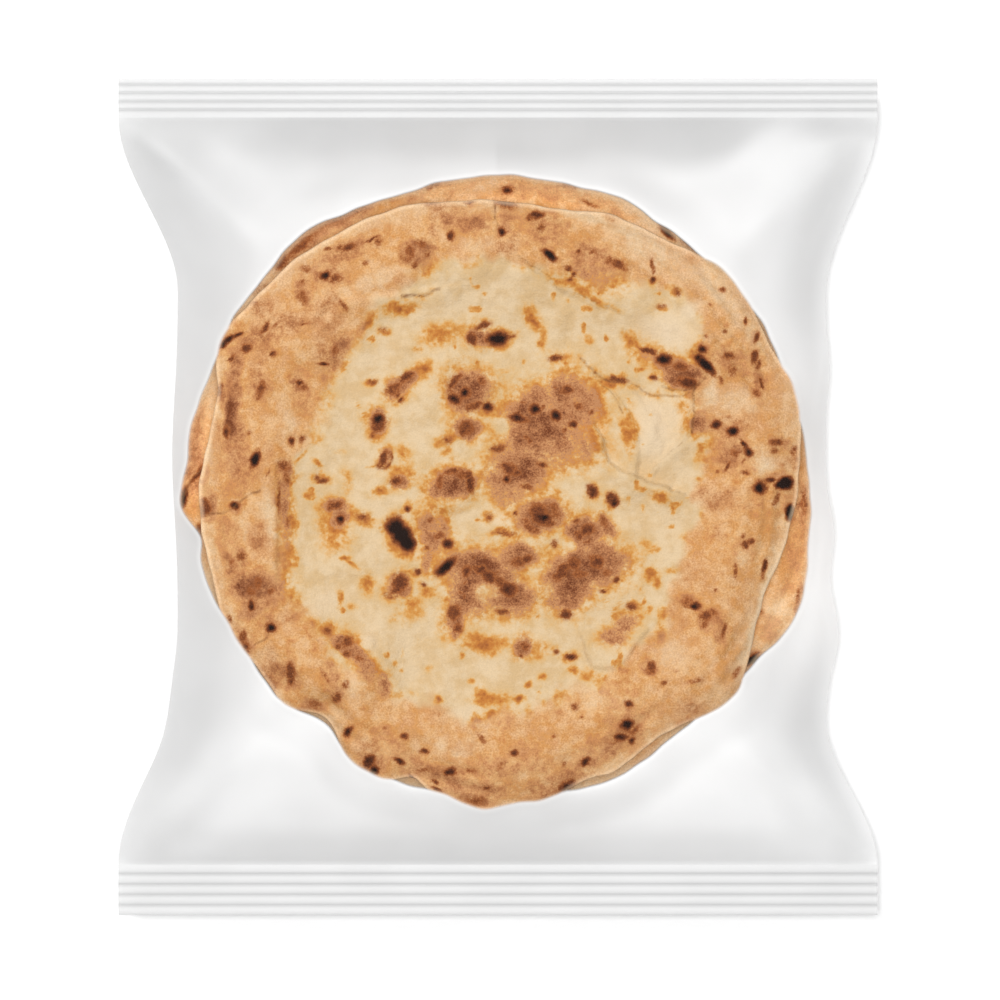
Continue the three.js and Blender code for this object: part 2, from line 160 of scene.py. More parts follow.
# Marks of the oven on the upper base. A mark is (pixel x, pixel y, half length, half width, turn, strength), with the
# turn anticlockwise in degrees and left out where it is 0. A burn of strength 1 is black and of 0.5 brown. A toasted
# patch is faint at 0.3 and full at 0.5, and an amber stain is faint at 0.2 and full at 0.45.
BURNS = [
    (430, 204, 8, 3, 0.5), (470, 203, 6, 1.8, 0.6), (505, 205, 11, 4.5, -10, 0.66), (502, 234, 3.5, 4.5, 1),
    (451, 237, 3.5, 4.5, 10, 0.78), (410, 254, 5, 9, 10, 0.5), (421, 245, 6, 5, 0.52), (416, 268, 4, 3, 0.6),
    (427, 255, 3, 3, 0.55), (537, 216, 7, 4, 10, 0.8), (540, 230, 3.5, 6, 0.55), (530, 218, 4, 4, 0.6),
    (550, 257, 8.5, 3.6, -35, 1.1), (578, 253, 2.6, 2.2, 0.62), (592, 254, 3, 2, 0.45), (567, 269, 4, 2.5, 0.62),
    (574, 275, 3, 3.5, 0.6), (570, 281, 3, 2, 0.55), (497.5, 339, 9.5, 5.2, 3, 1.14), (472, 339, 5, 7, 10, 0.64),
    (483, 326, 8, 3, 20, 0.56), (556, 358, 7, 3, 5, 0.6), (513, 337, 4, 2, 10, 0.5), (652, 268, 2.5, 8, 0.5),
    (651.5, 281, 3, 3.5, 0.76), (618, 266, 9, 5, -20, 0.66), (608, 262, 5, 4, 0.5), (722, 291, 3, 3, 0.6),
    (710, 305, 2.5, 2, 0.45), (676, 293, 4, 5, 0.45), (660, 308, 6, 3, 0.4), (745, 321, 1.5, 4, 0.7),
    (755, 338, 2.6, 6, -20, 0.72), (754, 357, 3.6, 7, -8, 0.7), (758, 366, 2.6, 6, -15, 0.6), (728, 357, 6, 5, 0.58),
    (731, 371, 5, 8, 0.44), (705, 337, 2.5, 2.5, 0.5), (724, 333, 2.5, 2.5, 0.5), (719, 380, 2.4, 4, 25, 0.62),
    (761, 384, 2.2, 7, 20, 0.7), (756, 394, 5, 4, 0.5), (663.5, 359.5, 6.5, 5.2, 1.08), (648, 351, 8, 2.4, -18, 0.7),
    (701, 351.5, 4.2, 4, 30, 0.95), (704, 366, 12.5, 3.8, -46, 1.12), (696, 359, 3, 4, 0.9),
    (680, 367, 8, 5, -10, 0.6), (653, 378, 3.5, 3, 0.64), (687, 383, 10, 4.6, -8, 0.76),
    (620, 380.5, 7, 2.2, -5, 0.74), (613, 379, 4, 2.5, 0.6), (715.5, 424.5, 5, 4.4, 20, 0.9),
    (731, 432, 5.6, 4.8, 1.06), (743, 444, 6, 2, -55, 0.95), (746.5, 452.5, 4, 3.6, 1), (726, 466, 2, 5, -25, 0.66),
    (717, 471, 2, 2, 0.55), (732, 453, 4, 4, 0.5), (744, 472, 5, 2.5, -10, 0.6), (742, 462, 1.6, 4, 0.56),
    (776, 442, 8, 4, 5, 0.64), (773, 451, 6, 3, 0.5), (793, 450, 5, 6, 0.5), (759, 487.5, 5.6, 5.8, 20, 1.06),
    (783, 483.5, 9.5, 6.6, 4, 1.14), (768, 480, 6, 2.4, 10, 0.85), (789, 512, 5, 7.6, 1.06),
    (775, 499, 3, 8, -20, 0.5), (744, 545, 4, 4, 0.72), (750, 542, 3, 4, 0.7), (742, 536, 3, 4, 0.46),
    (734, 570, 2, 8, 0.56), (764, 565, 3, 7, -8, 0.76), (762, 575, 2, 4, 0.56), (715, 590, 2.6, 2.4, 0.46),
    (687, 602, 8, 7, 0.46), (694.5, 605, 4, 4, 1.04), (704, 616, 7, 6, 30, 0.62), (702, 624.5, 4, 3.4, 0.66),
    # The mark at (693, 680) is a painted shadow streak, not a burn.
    (711, 612, 5, 4, 0.5), (723, 630, 2.4, 9, -6, 0.6), (693, 680, 10, 3, 15, 0.42), (736, 672, 4, 9, -30, 0.42),
    (663, 682, 4, 4, 0.46), (675, 670, 2.5, 2.5, 0.4), (565, 614, 6.4, 4.6, 0.66), (566, 614, 2.6, 2.2, 0.84),
    (631.5, 606.5, 4.6, 4.2, 0.58), (651, 667, 5, 6.5, 0.66), (648, 672, 4, 3, 0.55), (570.5, 656.5, 5, 3, 0.78),
    (556, 652, 2.5, 2.5, 0.5), (628, 703.5, 4.6, 4, 0.82), (626.5, 723.5, 6, 5, 20, 1.02),
    (620.5, 736.5, 7.4, 3.8, 0.98), (631.5, 740.5, 4, 3, 45, 0.84), (634, 730, 6, 4, 20, 0.56),
    (575, 705.5, 4.4, 4, 0.56), (581, 714.5, 2.5, 2.5, 0.56), (584.5, 760.5, 5, 3.8, 40, 0.88),
    (566, 786, 9, 5.6, 38, 0.82), (553, 735, 2.5, 3, 0.5), (565, 763, 3, 3, 0.5), (521, 656, 3, 2.4, 0.52),
    (525, 645, 5, 5, 0.46), (404.5, 735, 4, 3.4, 0.7), (424.5, 750.5, 5, 2.6, 0.76), (399, 759.5, 6.2, 3, -30, 0.88),
    (450, 770, 6.6, 3.2, 8, 0.92), (471, 768, 6, 3, 0.5), (425, 769, 9, 3, 0.48), (412, 776, 4.5, 2, -40, 0.66),
    (435, 780.5, 4.4, 2.6, -30, 0.72), (438, 789, 7, 2, -20, 0.66), (486, 786, 4, 2.5, 0.7), (476, 799.5, 10, 6, 0.48),
    (514, 751, 4.6, 4.2, 0.84), (501, 765, 8, 3.6, 45, 0.42), (482, 737, 3, 7, 35, 0.44), (252, 605, 3.6, 6.6, 0.84),
    (273, 590.5, 3.2, 3.8, 0.56), (272, 627, 5, 5, 40, 0.98), (230, 618, 2.5, 5, 0.5), (244, 636, 3.5, 7, -20, 0.56),
    (247, 646, 7, 4, -50, 0.72), (292, 671.5, 5, 11, 0.68), (291, 680, 3, 5, 0.7), (337.5, 697, 4.6, 6, -35, 0.64),
    (346, 684, 4, 5, 0.5), (326, 674, 3, 10, 30, 0.42), (314, 703, 9, 6, -20, 0.44), (349, 731.5, 3.6, 6, -40, 0.92),
    (369.5, 761, 5.5, 8, -25, 0.84), (374, 770, 5, 7, -25, 0.9), (384, 726, 3, 3, 0.42), (328, 631, 5, 4, 0.5),
    (349, 641, 6, 6, 30, 0.56), (340, 646, 4, 3, 0.46), (348, 653, 4, 3, 0.5), (360, 657, 5, 3, -30, 0.46),
    (227.7, 433, 3.2, 5.8, -8, 0.8), (250, 432, 2.6, 2.6, 0.5), (256.5, 459.5, 8.8, 4, 66, 1.12),
    (269, 472, 5, 1.2, 65, 0.5), (237, 506, 4.6, 3.8, 20, 1), (206, 507, 6, 9, 0.66), (203, 512, 3, 6, 0.6),
    (292.5, 441.5, 2.5, 4, 0.8), (303, 439, 4, 4, 0.56), (323.5, 480.5, 5.5, 2.8, 0.6), (318, 478, 3, 3, 0.5),
    (285, 466, 6, 6, 0.6), (287, 478, 4, 6, 0.5), (280, 498, 2, 18, 0.42), (289, 521, 4, 6, 0.36),
    (336, 504.5, 8, 4, 0.62), (341, 519.5, 3.6, 4.6, 1), (330, 508, 3, 4, 0.5), (242.5, 556, 5, 5, 20, 0.62),
    (233, 562, 4, 3, 0.46), (260, 582, 5, 6, 0.5), (252, 590, 6, 5, 0.46), (362, 517, 7, 4, -20, 0.46),
    (347.7, 248, 8.5, 4, 12, 0.74), (340, 247, 4, 3, 0.6), (328.5, 250, 4.5, 1.8, 15, 0.66),
    (371, 240.5, 7.5, 1.6, 22, 0.82), (379, 243, 4, 5, 0.48), (326, 276, 5, 4, 15, 1.02), (336, 279.5, 7, 5, 0.64),
    (306, 270, 6, 5, 0.5), (303, 283, 5, 2, 0.56), (303, 298, 6, 10, 15, 0.44), (344, 305, 8, 2.4, -45, 0.6),
    (347, 310, 4, 3, 0.46), (367, 264.5, 4, 3, 0.5), (266, 327.5, 7, 2.2, 58, 0.76), (276, 326, 3.5, 2, 40, 0.56),
    (305, 325, 4.5, 1, 20, 0.66), (247.5, 348, 6, 4.6, 50, 0.76), (232.5, 358.5, 5, 1.8, 42, 0.72),
    (275, 355.5, 3, 2.8, 0.82), (261, 363, 3, 3, 0.4), (301, 382, 3.2, 3, 0.84), (305, 387, 6, 5, 0.46),
    (262.5, 389, 4, 8, -15, 0.62), (259, 397, 3, 4, 0.5), (230, 339.5, 8, 3.4, 32, 0.95),
    (240, 334.5, 6, 1.8, 22, 0.85), (224, 344, 5, 3, 50, 0.9), (222, 391, 3.6, 8, 0.5),
    (324, 365.5, 5.5, 1.6, -6, 0.88), (337, 350, 4, 6, 0.5), (384, 331, 5, 3, -20, 0.42), (373, 381.5, 4.5, 3, 0.46),
    (407, 377.5, 9, 4, 35, 0.66), (396, 386, 6, 4, 30, 0.5), (391, 390, 6, 5, 20, 0.56), (401, 401, 3.2, 3.2, 0.66),
    (398, 394, 3, 4, 0.5), (378, 418.8, 5, 4.8, 1.1), (378, 424, 7, 8, 0.58), (373, 435, 4, 4, 0.42),
    (465.5, 393, 4.6, 5, 1.04), (454.5, 399.5, 6, 3.8, -35, 1.02), (488.5, 407, 4.6, 3.8, 30, 1),
    (482, 381, 5, 4, -40, 0.5), (465.5, 427.5, 8, 7, 0.54), (462, 433, 4, 4, 0.56), (448, 440.5, 5, 4, 0.42),
    (384, 457.5, 3.6, 8, -20, 0.64), (396.5, 480.5, 6, 4, 10, 0.68), (518.5, 419, 8.5, 4.2, -10, 0.88),
    (535, 409, 5, 4.4, -20, 1.02), (556.5, 415.5, 4.6, 5, 1.02), (572.5, 424.5, 3.6, 3.6, 0.76),
    (565, 430, 3, 2.6, 0.62), (567, 390, 5, 5, 20, 0.62), (579, 405.5, 5, 4, 0.5), (592, 412, 3, 3, 0.5),
    (498, 448, 9, 3.6, 15, 0.5), (542, 465, 5.5, 2.6, -20, 0.68), (509, 468, 8, 6, -20, 0.64),
    (506, 479, 3.6, 3.4, 0.94), (526, 487, 7, 3, -15, 0.5), (517, 474, 4, 3, 0.56), (592.5, 490.5, 5.2, 7.2, 20, 0.62),
    (594, 493, 2.4, 3, 0.8), (612, 499, 5.4, 7.6, 35, 0.66), (613, 503, 3, 3, 0.98), (604, 521, 4, 8, 25, 0.44),
    (542, 517, 9, 6.8, -25, 0.78), (545, 517, 5, 3.6, 1.08), (538, 510, 9, 6, 0.56), (549, 524, 6, 4, 0.56),
    (516, 513, 3, 3, 0.6), (489.5, 517, 4, 4, 0.4), (505, 533, 13, 2.2, -8, 0.44), (470, 482, 3.4, 11, 8, 0.72),
    (452, 471, 12, 3, 8, 0.5), (462, 475, 6, 4, 0.5), (440, 482, 4, 8, -10, 0.46), (396, 527, 9.5, 8.2, -72, 1.1),
    (402, 535, 10.5, 8.8, -62, 1.12), (407, 543, 8.5, 7.4, -50, 1.16), (407.5, 508.8, 2.8, 3, 0.76),
    (448, 543.5, 5.6, 4, 12, 0.88), (446.5, 566, 10.5, 4.4, 42, 1.08), (442, 571, 5, 4, 0.9),
    (417.5, 571.5, 4, 2.8, -30, 0.78), (424.5, 584, 2.8, 2.6, 0.5), (400, 583, 7.5, 10.5, -15, 0.6),
    (401, 583, 4, 5, -20, 0.68), (395, 590, 6, 4, 30, 0.5), (430, 520, 4, 3, 0.46), (440, 535, 6, 5, 0.46),
    (428, 548, 3, 3, 0.5), (466.5, 571, 5, 5, 0.66), (481, 570, 4, 4, 0.7), (488.5, 577, 6, 5, -40, 0.7),
    (508.5, 588.5, 7, 5.6, -20, 0.82), (500, 582, 8, 5, -30, 0.54), (503, 611, 8, 3, 0.5), (527, 559, 5, 4, 20, 0.68),
    (519, 562, 8, 5, 0.52), (454, 613, 7, 8, -20, 0.58), (458, 629, 5, 5, 0.58), (576, 522, 4, 3, 30, 0.5),
    (587.5, 529, 7.5, 5.6, 25, 0.62), (563, 568, 4.4, 4, 0.66), (573.5, 564, 6, 6, 0.58), (555.5, 578, 4, 5, 0.5),
    (598, 563, 6.4, 5.4, 0.64), (594, 557, 5, 3, 0.5), (617, 579, 3.4, 3, 0.66), (601.5, 590.5, 3.2, 2.6, 0.62),
    (554.5, 544, 3, 4, 0.5), (580, 574, 8, 4, 0.46), (606, 572, 5, 4, 0.46),
]
TOASTS = [
    (463, 224, 28, 11, 0.44), (418, 255, 16, 15, 0.46), (545, 233, 34, 20, -10, 0.34), (592, 264, 30, 20, -20, 0.4),
    (507, 224, 10, 16, 0.42), (479, 336, 12, 9, 20, 0.46), (668, 364, 26, 9, -22, 0.46), (684, 378, 20, 10, -10, 0.46),
    (698, 423, 10, 10, 0.44), (733, 455, 22, 18, -40, 0.42), (735, 362, 26, 16, -20, 0.38), (757, 375, 9, 26, 6, 0.36),
    (776, 446, 14, 10, 0.38), (760, 505, 28, 26, 0.27), (742, 548, 26, 22, 0.3), (708, 617, 13, 11, 20, 0.42),
    (720, 635, 10, 18, -10, 0.36), (628, 724, 24, 26, 20, 0.38), (600, 748, 42, 16, 30, 0.4),
    (612, 744, 28, 12, 32, 0.42), (560, 780, 40, 14, 20, 0.36), (505, 765, 70, 14, 4, 0.34),
    (450, 778, 50, 13, -14, 0.42), (415, 762, 40, 12, -25, 0.34), (476, 798, 18, 9, 0.44),
    (372, 764, 14, 16, -30, 0.44), (385, 735, 26, 12, -30, 0.34), (503, 723, 12, 14, 20, 0.34),
    (520, 750, 24, 10, 10, 0.38), (258, 588, 24, 18, 0.56), (228, 530, 12, 20, 0.36), (470, 786, 44, 12, -4, 0.4),
    (246, 642, 12, 9, -50, 0.44), (292, 672, 11, 17, 0.44), (332, 680, 9, 22, 25, 0.4), (314, 703, 16, 9, -25, 0.42),
    (359, 657, 22, 9, -42, 0.45), (343, 642, 12, 8, -20, 0.42), (367, 673, 12, 11, -30, 0.38), (384, 687, 9, 12, 0.36),
    (285, 500, 6, 42, 2, 0.38), (286, 470, 8, 11, 0.46), (234, 400, 9, 62, -4, 0.5), (236, 450, 14, 40, 0.42),
    (252, 606, 14, 16, 0.46), (262, 392, 18, 14, 70, 0.36), (305, 392, 14, 30, 8, 0.34), (240, 480, 18, 20, 0.34),
    (210, 505, 9, 16, 0.44), (262, 620, 22, 16, -40, 0.32), (235, 560, 14, 16, 0.36), (336, 506, 12, 7, 0.46),
    (341, 519, 8, 9, 0.4), (350, 254, 44, 13, 22, 0.36), (330, 279, 18, 9, 0.4), (303, 292, 10, 18, 10, 0.38),
    (247, 346, 16, 10, 45, 0.44), (228, 342, 12, 8, 40, 0.46), (275, 340, 16, 10, 40, 0.34),
    (340, 349, 9, 18, -48, 0.42), (300, 384, 12, 9, 0.42), (222, 392, 8, 14, 0.42), (398, 388, 13, 9, 40, 0.42),
    (409, 378, 12, 6, 35, 0.44), (378, 421, 10, 11, 0.42), (468, 390, 20, 19, 0.43), (466, 427, 13, 11, 0.44),
    (384, 458, 6, 10, -15, 0.42), (398, 482, 9, 7, 0.42), (571, 405, 26, 25, 0.47), (535, 413, 30, 20, 0.48),
    (545, 440, 42, 20, -10, 0.44), (516, 470, 26, 24, 10, 0.47), (508, 492, 18, 14, 0.38), (578, 440, 18, 22, 0.35),
    (560, 460, 22, 12, 0.32), (541, 515, 22, 15, 10, 0.5), (452, 484, 21, 14, 10, 0.54), (436, 492, 9, 8, 0.44),
    (434, 532, 12, 22, 15, 0.45), (427, 560, 7, 10, 0.4), (480, 572, 34, 20, -15, 0.47), (470, 592, 20, 22, 0.44),
    (513, 598, 22, 15, 0.45), (517, 556, 18, 12, 10, 0.48), (455, 615, 9, 19, -8, 0.47), (590, 563, 32, 19, 0.48),
    (568, 582, 24, 24, 0.45), (584, 534, 14, 15, 20, 0.47), (566, 602, 18, 10, 0.42), (606, 524, 7, 14, 25, 0.4),
    (624, 623, 12, 9, 0.36), (612, 636, 14, 9, 0.32), (650, 666, 11, 11, 0.43), (686, 602, 10, 9, 0.42),
    (525, 647, 10, 10, 0.42), (400, 584, 10, 12, 0.46),
]
STAINS = [
    (400, 309, 13, 6, 0.4), (385, 332, 6, 4, -20, 0.38), (446, 334, 20, 9, 15, 0.36), (531, 318, 7, 12, 30, 0.46),
    (543, 337, 4, 10, 10, 0.34), (560, 360, 14, 8, 0.3), (566, 367, 4, 6, 0.36), (578, 291, 30, 4, -26, 0.38),
    (588, 298, 24, 4, -22, 0.34), (369, 293, 16, 2, 20, 0.28), (365, 327, 16, 5, 48, 0.46), (328, 376, 9, 6, 30, 0.42),
    (304, 455, 2, 8, -35, 0.32), (318, 462, 7, 2, -50, 0.34), (322, 475, 3, 8, 10, 0.36), (345, 481, 6, 12, 0.24),
    (335, 525, 13, 22, 0.34), (362, 517, 11, 7, -20, 0.4), (346, 560, 5, 4, 0.38), (353, 566, 9, 2, -30, 0.34),
    (369, 582, 7, 9, 0.42), (293, 519, 5, 16, 0.42), (288, 550, 5, 14, 0.38), (292, 447, 4, 6, 0.36),
    (484, 644, 17, 8, 0.47), (524, 649, 11, 10, 0.44), (540, 650, 9, 8, 0.34), (460, 656, 3, 3, 0.34),
    (530, 683.5, 4.4, 3.4, 0.46), (546, 678, 3.4, 3, 0.38), (471, 682, 3, 2.4, 0.34), (574, 671, 3.6, 3.4, 0.4),
    (437.5, 700.5, 4.4, 3.8, 0.46), (482, 693, 5, 7, 0.4), (492, 698, 14, 6, 0.4), (519, 700, 6, 3.4, 0.5),
    (493, 713, 6, 4, 0.4), (471, 727, 4, 3, 0.42), (603.5, 689.5, 4.6, 4, 0.48), (612, 683, 20, 8, -10, 0.3),
    (660, 637, 4.6, 11, 0.48), (660, 616, 3, 4, 0.34), (646, 612, 3.4, 3, 0.36), (650, 574, 7.6, 6, 0.44),
    (656, 582, 4, 5, 0.42), (670, 571, 5, 3, 0.3), (645, 544, 9, 4, 0.28), (652, 547, 6, 3, 0.32),
    (687, 541, 8, 2.4, -30, 0.36), (706, 534, 4, 20, 0.34), (658, 497, 10, 7, -20, 0.38), (698, 423, 12, 12, 0.52),
    (628, 430, 7, 18, 0.42), (634, 346, 10, 14, 20, 0.36), (612, 383, 22, 5, -10, 0.36), (700, 447, 4, 5, 0.44),
    (632, 607, 7, 7, 0.4), (604, 522, 8, 12, 25, 0.44), (592, 545, 6, 8, 0.4), (560, 488, 9, 5, 0.3),
    (488.5, 517, 6, 5, 0.4), (505, 534, 15, 3.4, -8, 0.44), (597, 400, 9, 20, 0.46), (595, 440, 6, 14, 10, 0.44),
    (425, 368, 9, 7, 20, 0.44), (374, 381, 6, 4, 0.42), (376, 434, 8, 7, 0.44), (447, 441, 8, 6, 0.42),
    (447, 452, 4, 4, 0.38), (404, 456, 7, 8, 0.32), (381, 492, 6, 6, 0.4), (400, 475, 12, 10, 0.34),
    (450, 509, 17, 4, 8, 0.44), (411, 606, 12, 13, 0.28), (297, 614, 8, 6, 0.4), (306, 631, 3, 14, 25, 0.36),
    (314, 646, 4, 6, 0.4), (340, 599, 3.4, 10, 0.36), (328, 631, 9, 7, 0.48), (350, 641, 9, 10, 0.5),
    (372, 666, 12, 7, -50, 0.5), (394, 620, 6, 5, 0.22), (427, 590, 7, 5, 0.3), (545, 704, 3, 3, 0.26),
    (430, 668, 5, 3, 0.24), (590, 676, 14, 4, -10, 0.3), (548, 489, 6, 3, 0.24), (640, 590, 4, 3, 0.22),
    (355, 608, 6, 3, 0.24), (342, 452, 5, 3, 0.22), (420, 350, 5, 3, 0.24), (505, 372, 7, 3, 0.22),
    (585, 340, 6, 4, 0.22),
]
# Pales lighten the dough to the flour colour: flour, and in the long narrow ones along the rolled edge, painted
# highlights.
PALES = [
    (478, 243, 15, 6, 10, 0.5), (458, 212, 32, 7, 5, 0.35), (612, 287, 26, 9, -12, 0.6), (668, 334, 30, 15, -12, 0.9),
    (689, 310, 9, 10, -30, 0.8), (764, 464, 13, 9, -10, 0.95), (756, 455, 6, 10, 0.8), (742, 558, 9, 7, 20, 0.95),
    (708, 397, 9, 15, -10, 0.9), (738, 400, 24, 12, 0.6), (654, 430, 20, 30, 8, 0.85), (676, 418, 14, 20, -20, 0.7),
    (600, 432, 6, 16, 0.5), (242, 528, 9, 11, 0.45), (270, 515, 7, 24, 5, 0.85), (290, 425, 8, 20, 12, 0.5),
    (372, 282, 32, 9, 22, 0.55), (366, 642, 11, 10, 0.8), (352, 690, 12, 10, -40, 0.5), (480, 716, 30, 10, 0.4),
    (462, 752, 8, 14, -20, 0.7), (441, 742, 8, 7, 0.6), (567, 755, 10, 6, 0.5), (520, 774, 9, 7, 0.35),
    (600, 700, 22, 10, 0.5), (670, 655, 18, 14, 30, 0.55), (215, 400, 3, 14, 0.7), (207, 455, 4, 22, -8, 0.8),
    (222, 590, 6, 18, -15, 0.5), (330, 600, 24, 12, 20, 0.5), (700, 270, 42, 16, -35, 0.6),
    (735, 300, 12, 22, 20, 0.5), (575, 214, 50, 7, -13, 0.8), (650, 247, 46, 13, -28, 0.9),
    (715, 290, 44, 9, -52, 0.7), (752, 335, 7, 16, 15, 0.6), (640, 262, 26, 5, -30, 0.5), (316, 268, 30, 4, 38, 0.4),
    (759, 614, 7, 64, -17, 1.1), (505, 522, 11, 8, 0.7), (250, 612, 10, 5, 30, 0.4),
]
RINGS = [
    (468, 389, 20, 18, 0.52), (542, 516, 20, 15, 10, 0.44), (383, 459, 8, 11, -15, 0.42), (416, 253, 15, 14, 0.36),
    (399, 584, 12, 13, 0.36),
]
HOLES = [
    (501, 427, 9, 8, 1), (462, 449, 10, 6, 1), (457, 508, 13, 4, 10, 0.8), (549, 448, 14, 7, -10, 0.35),
    (566, 484, 10, 6, 0.7), (530, 541, 7, 5, 0.8), (485, 592, 13, 8, 0.75), (548, 590, 7, 10, 0.5),
    (395, 462, 6, 5, 0.5), (568, 545, 8, 6, 0.5),
]
# Where the pale middle gives way to the tan rim: (degrees, share of the radius).
CREAM_EDGE = [
    (0, 0.67), (25, 0.68), (46, 0.86), (65, 0.78), (90, 0.8), (122, 0.76), (151, 0.64), (175, 0.73), (195, 0.74),
    (232, 0.74), (270, 0.7), (300, 0.7), (330, 0.66),
]
# Marks on the lower base, in the same terms.
LOWER_BURNS = [
    (507, 189, 6, 4, 0.95), (753, 660, 8, 4.4, 38, 1.2), (667, 231, 10, 3.2, -45, 0.95),
    (690, 245, 12, 2.5, -35, 0.55), (183, 497, 4, 11, -10, 0.9), (196, 474, 10, 3, 55, 0.8), (200, 531, 5, 8, 0.62),
    (432, 184, 12, 4, 12, 0.5), (345, 214, 26, 4, 24, 0.5), (300, 246, 22, 5, 40, 0.55), (281, 262, 12, 5, 48, 0.6),
    (805, 500, 4, 14, 0.5), (800, 600, 4, 16, -10, 0.45), (762, 612, 3, 3, 0.55), (570, 184, 14, 3, -5, 0.45),
    (590, 203, 10, 2.5, -20, 0.5),
]
LOWER_TOASTS = [
    (540, 192, 50, 12, -6, 0.32), (610, 208, 30, 9, -22, 0.3), (330, 225, 60, 14, 32, 0.42), (194, 455, 14, 48, 0.42),
    (795, 540, 14, 70, 0.34), (770, 630, 24, 16, 50, 0.3), (430, 190, 60, 10, 12, 0.3), (650, 745, 70, 9, 30, 0.2),
]
LOWER_STAINS = [
    (777, 590, 14, 10, 0.26), (480, 178, 26, 5, 0.24), (630, 212, 30, 6, -22, 0.22),
]
LOWER_CREASES = [
    (0.5, 1.3, 0.9, [(664, 228), (674, 237)]), (0.5, 1.3, 0.9, [(200, 468), (190, 482), (182, 495)]),
]
LOWER_PALES = [
    (478, 182, 40, 8, 5, 0.7), (600, 196, 40, 6, -18, 0.4), (778, 620, 16, 30, -10, 0.85), (640, 226, 20, 5, -30, 0.5),
]

# Creases are (depth, half width, darkness, points), as lines of pixels; their darkness is browning and painted shade
# in the fold. A fold stands up on the left of its line, seen along it, and runs out again over its reach: (height,
# reach, points).
CREASES = [
    (0.6, 1.6, 1.0, [(580, 360), (594, 372), (602, 379), (613, 381), (625, 380)]),
    (0.5, 1.5, 0.8, [(625, 380), (640, 389), (651, 396), (661, 397), (681, 398), (689, 394)]),
    (0.5, 1.6, 0.9, [(660, 386), (671, 391), (685, 391), (695, 387), (701, 380), (706, 374)]),
    (0.6, 1.8, 1.0, [(694, 389), (694, 402), (695, 413), (692, 421), (691, 432)]),
    (0.5, 1.6, 0.62, [(691, 436), (681, 441), (670, 451), (659, 460)]),
    (0.6, 1.8, 0.46, [(625, 381), (640, 392), (651, 400), (663, 415), (668, 428)]),
    (0.5, 1.5, 0.74, [(593, 375), (608, 392), (617, 404), (621, 413)]),
    (0.5, 1.8, 0.46, [(651, 409), (638, 417), (634, 424), (638, 436), (636, 449), (636, 462)]),
    (0.6, 2.2, 0.44, [(602, 449), (608, 464), (622, 475), (634, 479), (651, 481), (666, 488)]),
    (0.5, 1.8, 0.46, [(579, 663), (592, 665), (607, 666), (622, 661), (634, 650), (642, 637)]),
    (0.5, 1.6, 0.95, [(403, 297), (422, 297), (433, 293), (440, 289)]),
    (0.4, 1.5, 0.72, [(529, 265), (540, 272), (557, 288), (578, 295), (598, 304)]),
    (0.4, 1.4, 0.9, [(494, 201), (495, 218), (499, 230)]),
    (0.3, 1.4, 0.6, [(499, 230), (510, 241), (516, 253)]),
    (0.4, 1.4, 0.85, [(206, 515), (232, 511), (243, 500), (262, 491)]),
    (0.4, 1.4, 0.75, [(254, 646), (267, 640), (270, 633)]),
    (0.5, 2.4, 0.5, [(723, 642), (717, 651), (709, 662), (696, 674), (688, 679)]),
    (0.3, 1.5, 0.45, [(319, 583), (338, 577), (357, 577)]),
    (0.4, 1.5, 0.5, [(376, 644), (387, 654), (395, 665)]),
    (0.3, 1.4, 0.6, [(706, 346), (721, 341), (734, 336)]),
    (0.3, 1.3, 0.6, [(752, 552), (744, 564)]),
    (0.6, 2.6, 0.2, [(510, 262), (547, 276), (573, 311), (566, 353)]),
    (0.5, 2.4, 0.15, [(645, 608), (668, 582)]),
]
FOLDS = [
    (1.0, 8.0, [(655, 470), (660, 450), (650, 420), (637, 397), (620, 382)]),
    (2.4, 9.0, [(636, 462), (636, 449), (634, 424), (614, 398)]),
    (2.6, 10.0, [(700, 350), (696, 380), (694, 405), (682, 436), (660, 461)]),
    (4.2, 9.0, [(666, 488), (634, 479), (608, 464), (600, 440)]),
    (2.0, 9.0, [(586, 650), (592, 665), (607, 666), (622, 661), (640, 640)]),
    (1.6, 9.0, [(440, 289), (400, 298), (357, 302)]),
    (1.2, 9.0, [(278, 560), (276, 520), (278, 480)]),
    (1.5, 9.0, [(529, 265), (557, 288), (600, 305)]),
    (0.9, 6.0, [(548, 214), (590, 224), (640, 243)]),
    (0.8, 6.0, [(300, 262), (330, 244), (370, 232)]),
]
CREASE_WARP = 7.0, 0.9, 41  # how the lines wander: size, amount and seed
WIDE_BURN = 6  # a burn of a greater half width is flat, with a narrow fringe
UPPER_MARKS = BURNS, TOASTS, STAINS, PALES, CREASES
LOWER_MARKS = LOWER_BURNS, LOWER_TOASTS, LOWER_STAINS, LOWER_PALES, LOWER_CREASES
# Blisters are marks with a height instead of a strength.
BLISTERS = [
    (452, 493, 25, 23, 10, 1.7), (366, 642, 12, 11, 1.1), (505, 522, 14, 8, 0.8), (470, 390, 22, 20, 0.7),
    (416, 253, 18, 15, 1.2), (618, 266, 16, 12, 0.8), (550, 430, 46, 36, -20, 0.9), (586, 562, 34, 28, 0.9),
    (490, 576, 36, 30, 0.9), (400, 536, 18, 12, -62, 0.8), (378, 420, 12, 11, 0.7), (783, 484, 14, 9, 0.8),
    (544, 516, 20, 13, 0.8), (645, 430, 14, 34, -10, 1.1), (700, 300, 40, 20, -35, 1), (640, 540, 40, 26, 0.7),
    (340, 430, 26, 34, 0.7), (520, 650, 60, 16, 0.5), (350, 560, 34, 22, 0.6), (440, 700, 44, 20, 0.6),
]

LIGHT_LEVEL = 1.29  # how bright the stage makes white that faces up, as a share of the photograph's white

# ---- Smooth random fields ----

LATTICE = 64
LATTICE_SHIFT = (0.37, 0.61)  # where the origin lies in the lattice, as shares of it


def ease(t):
    """Runs from 0 to 1 as t does, level at both ends, and stays there beyond them."""
    t = np.clip(t, 0.0, 1.0)
    return t * t * (3.0 - 2.0 * t)


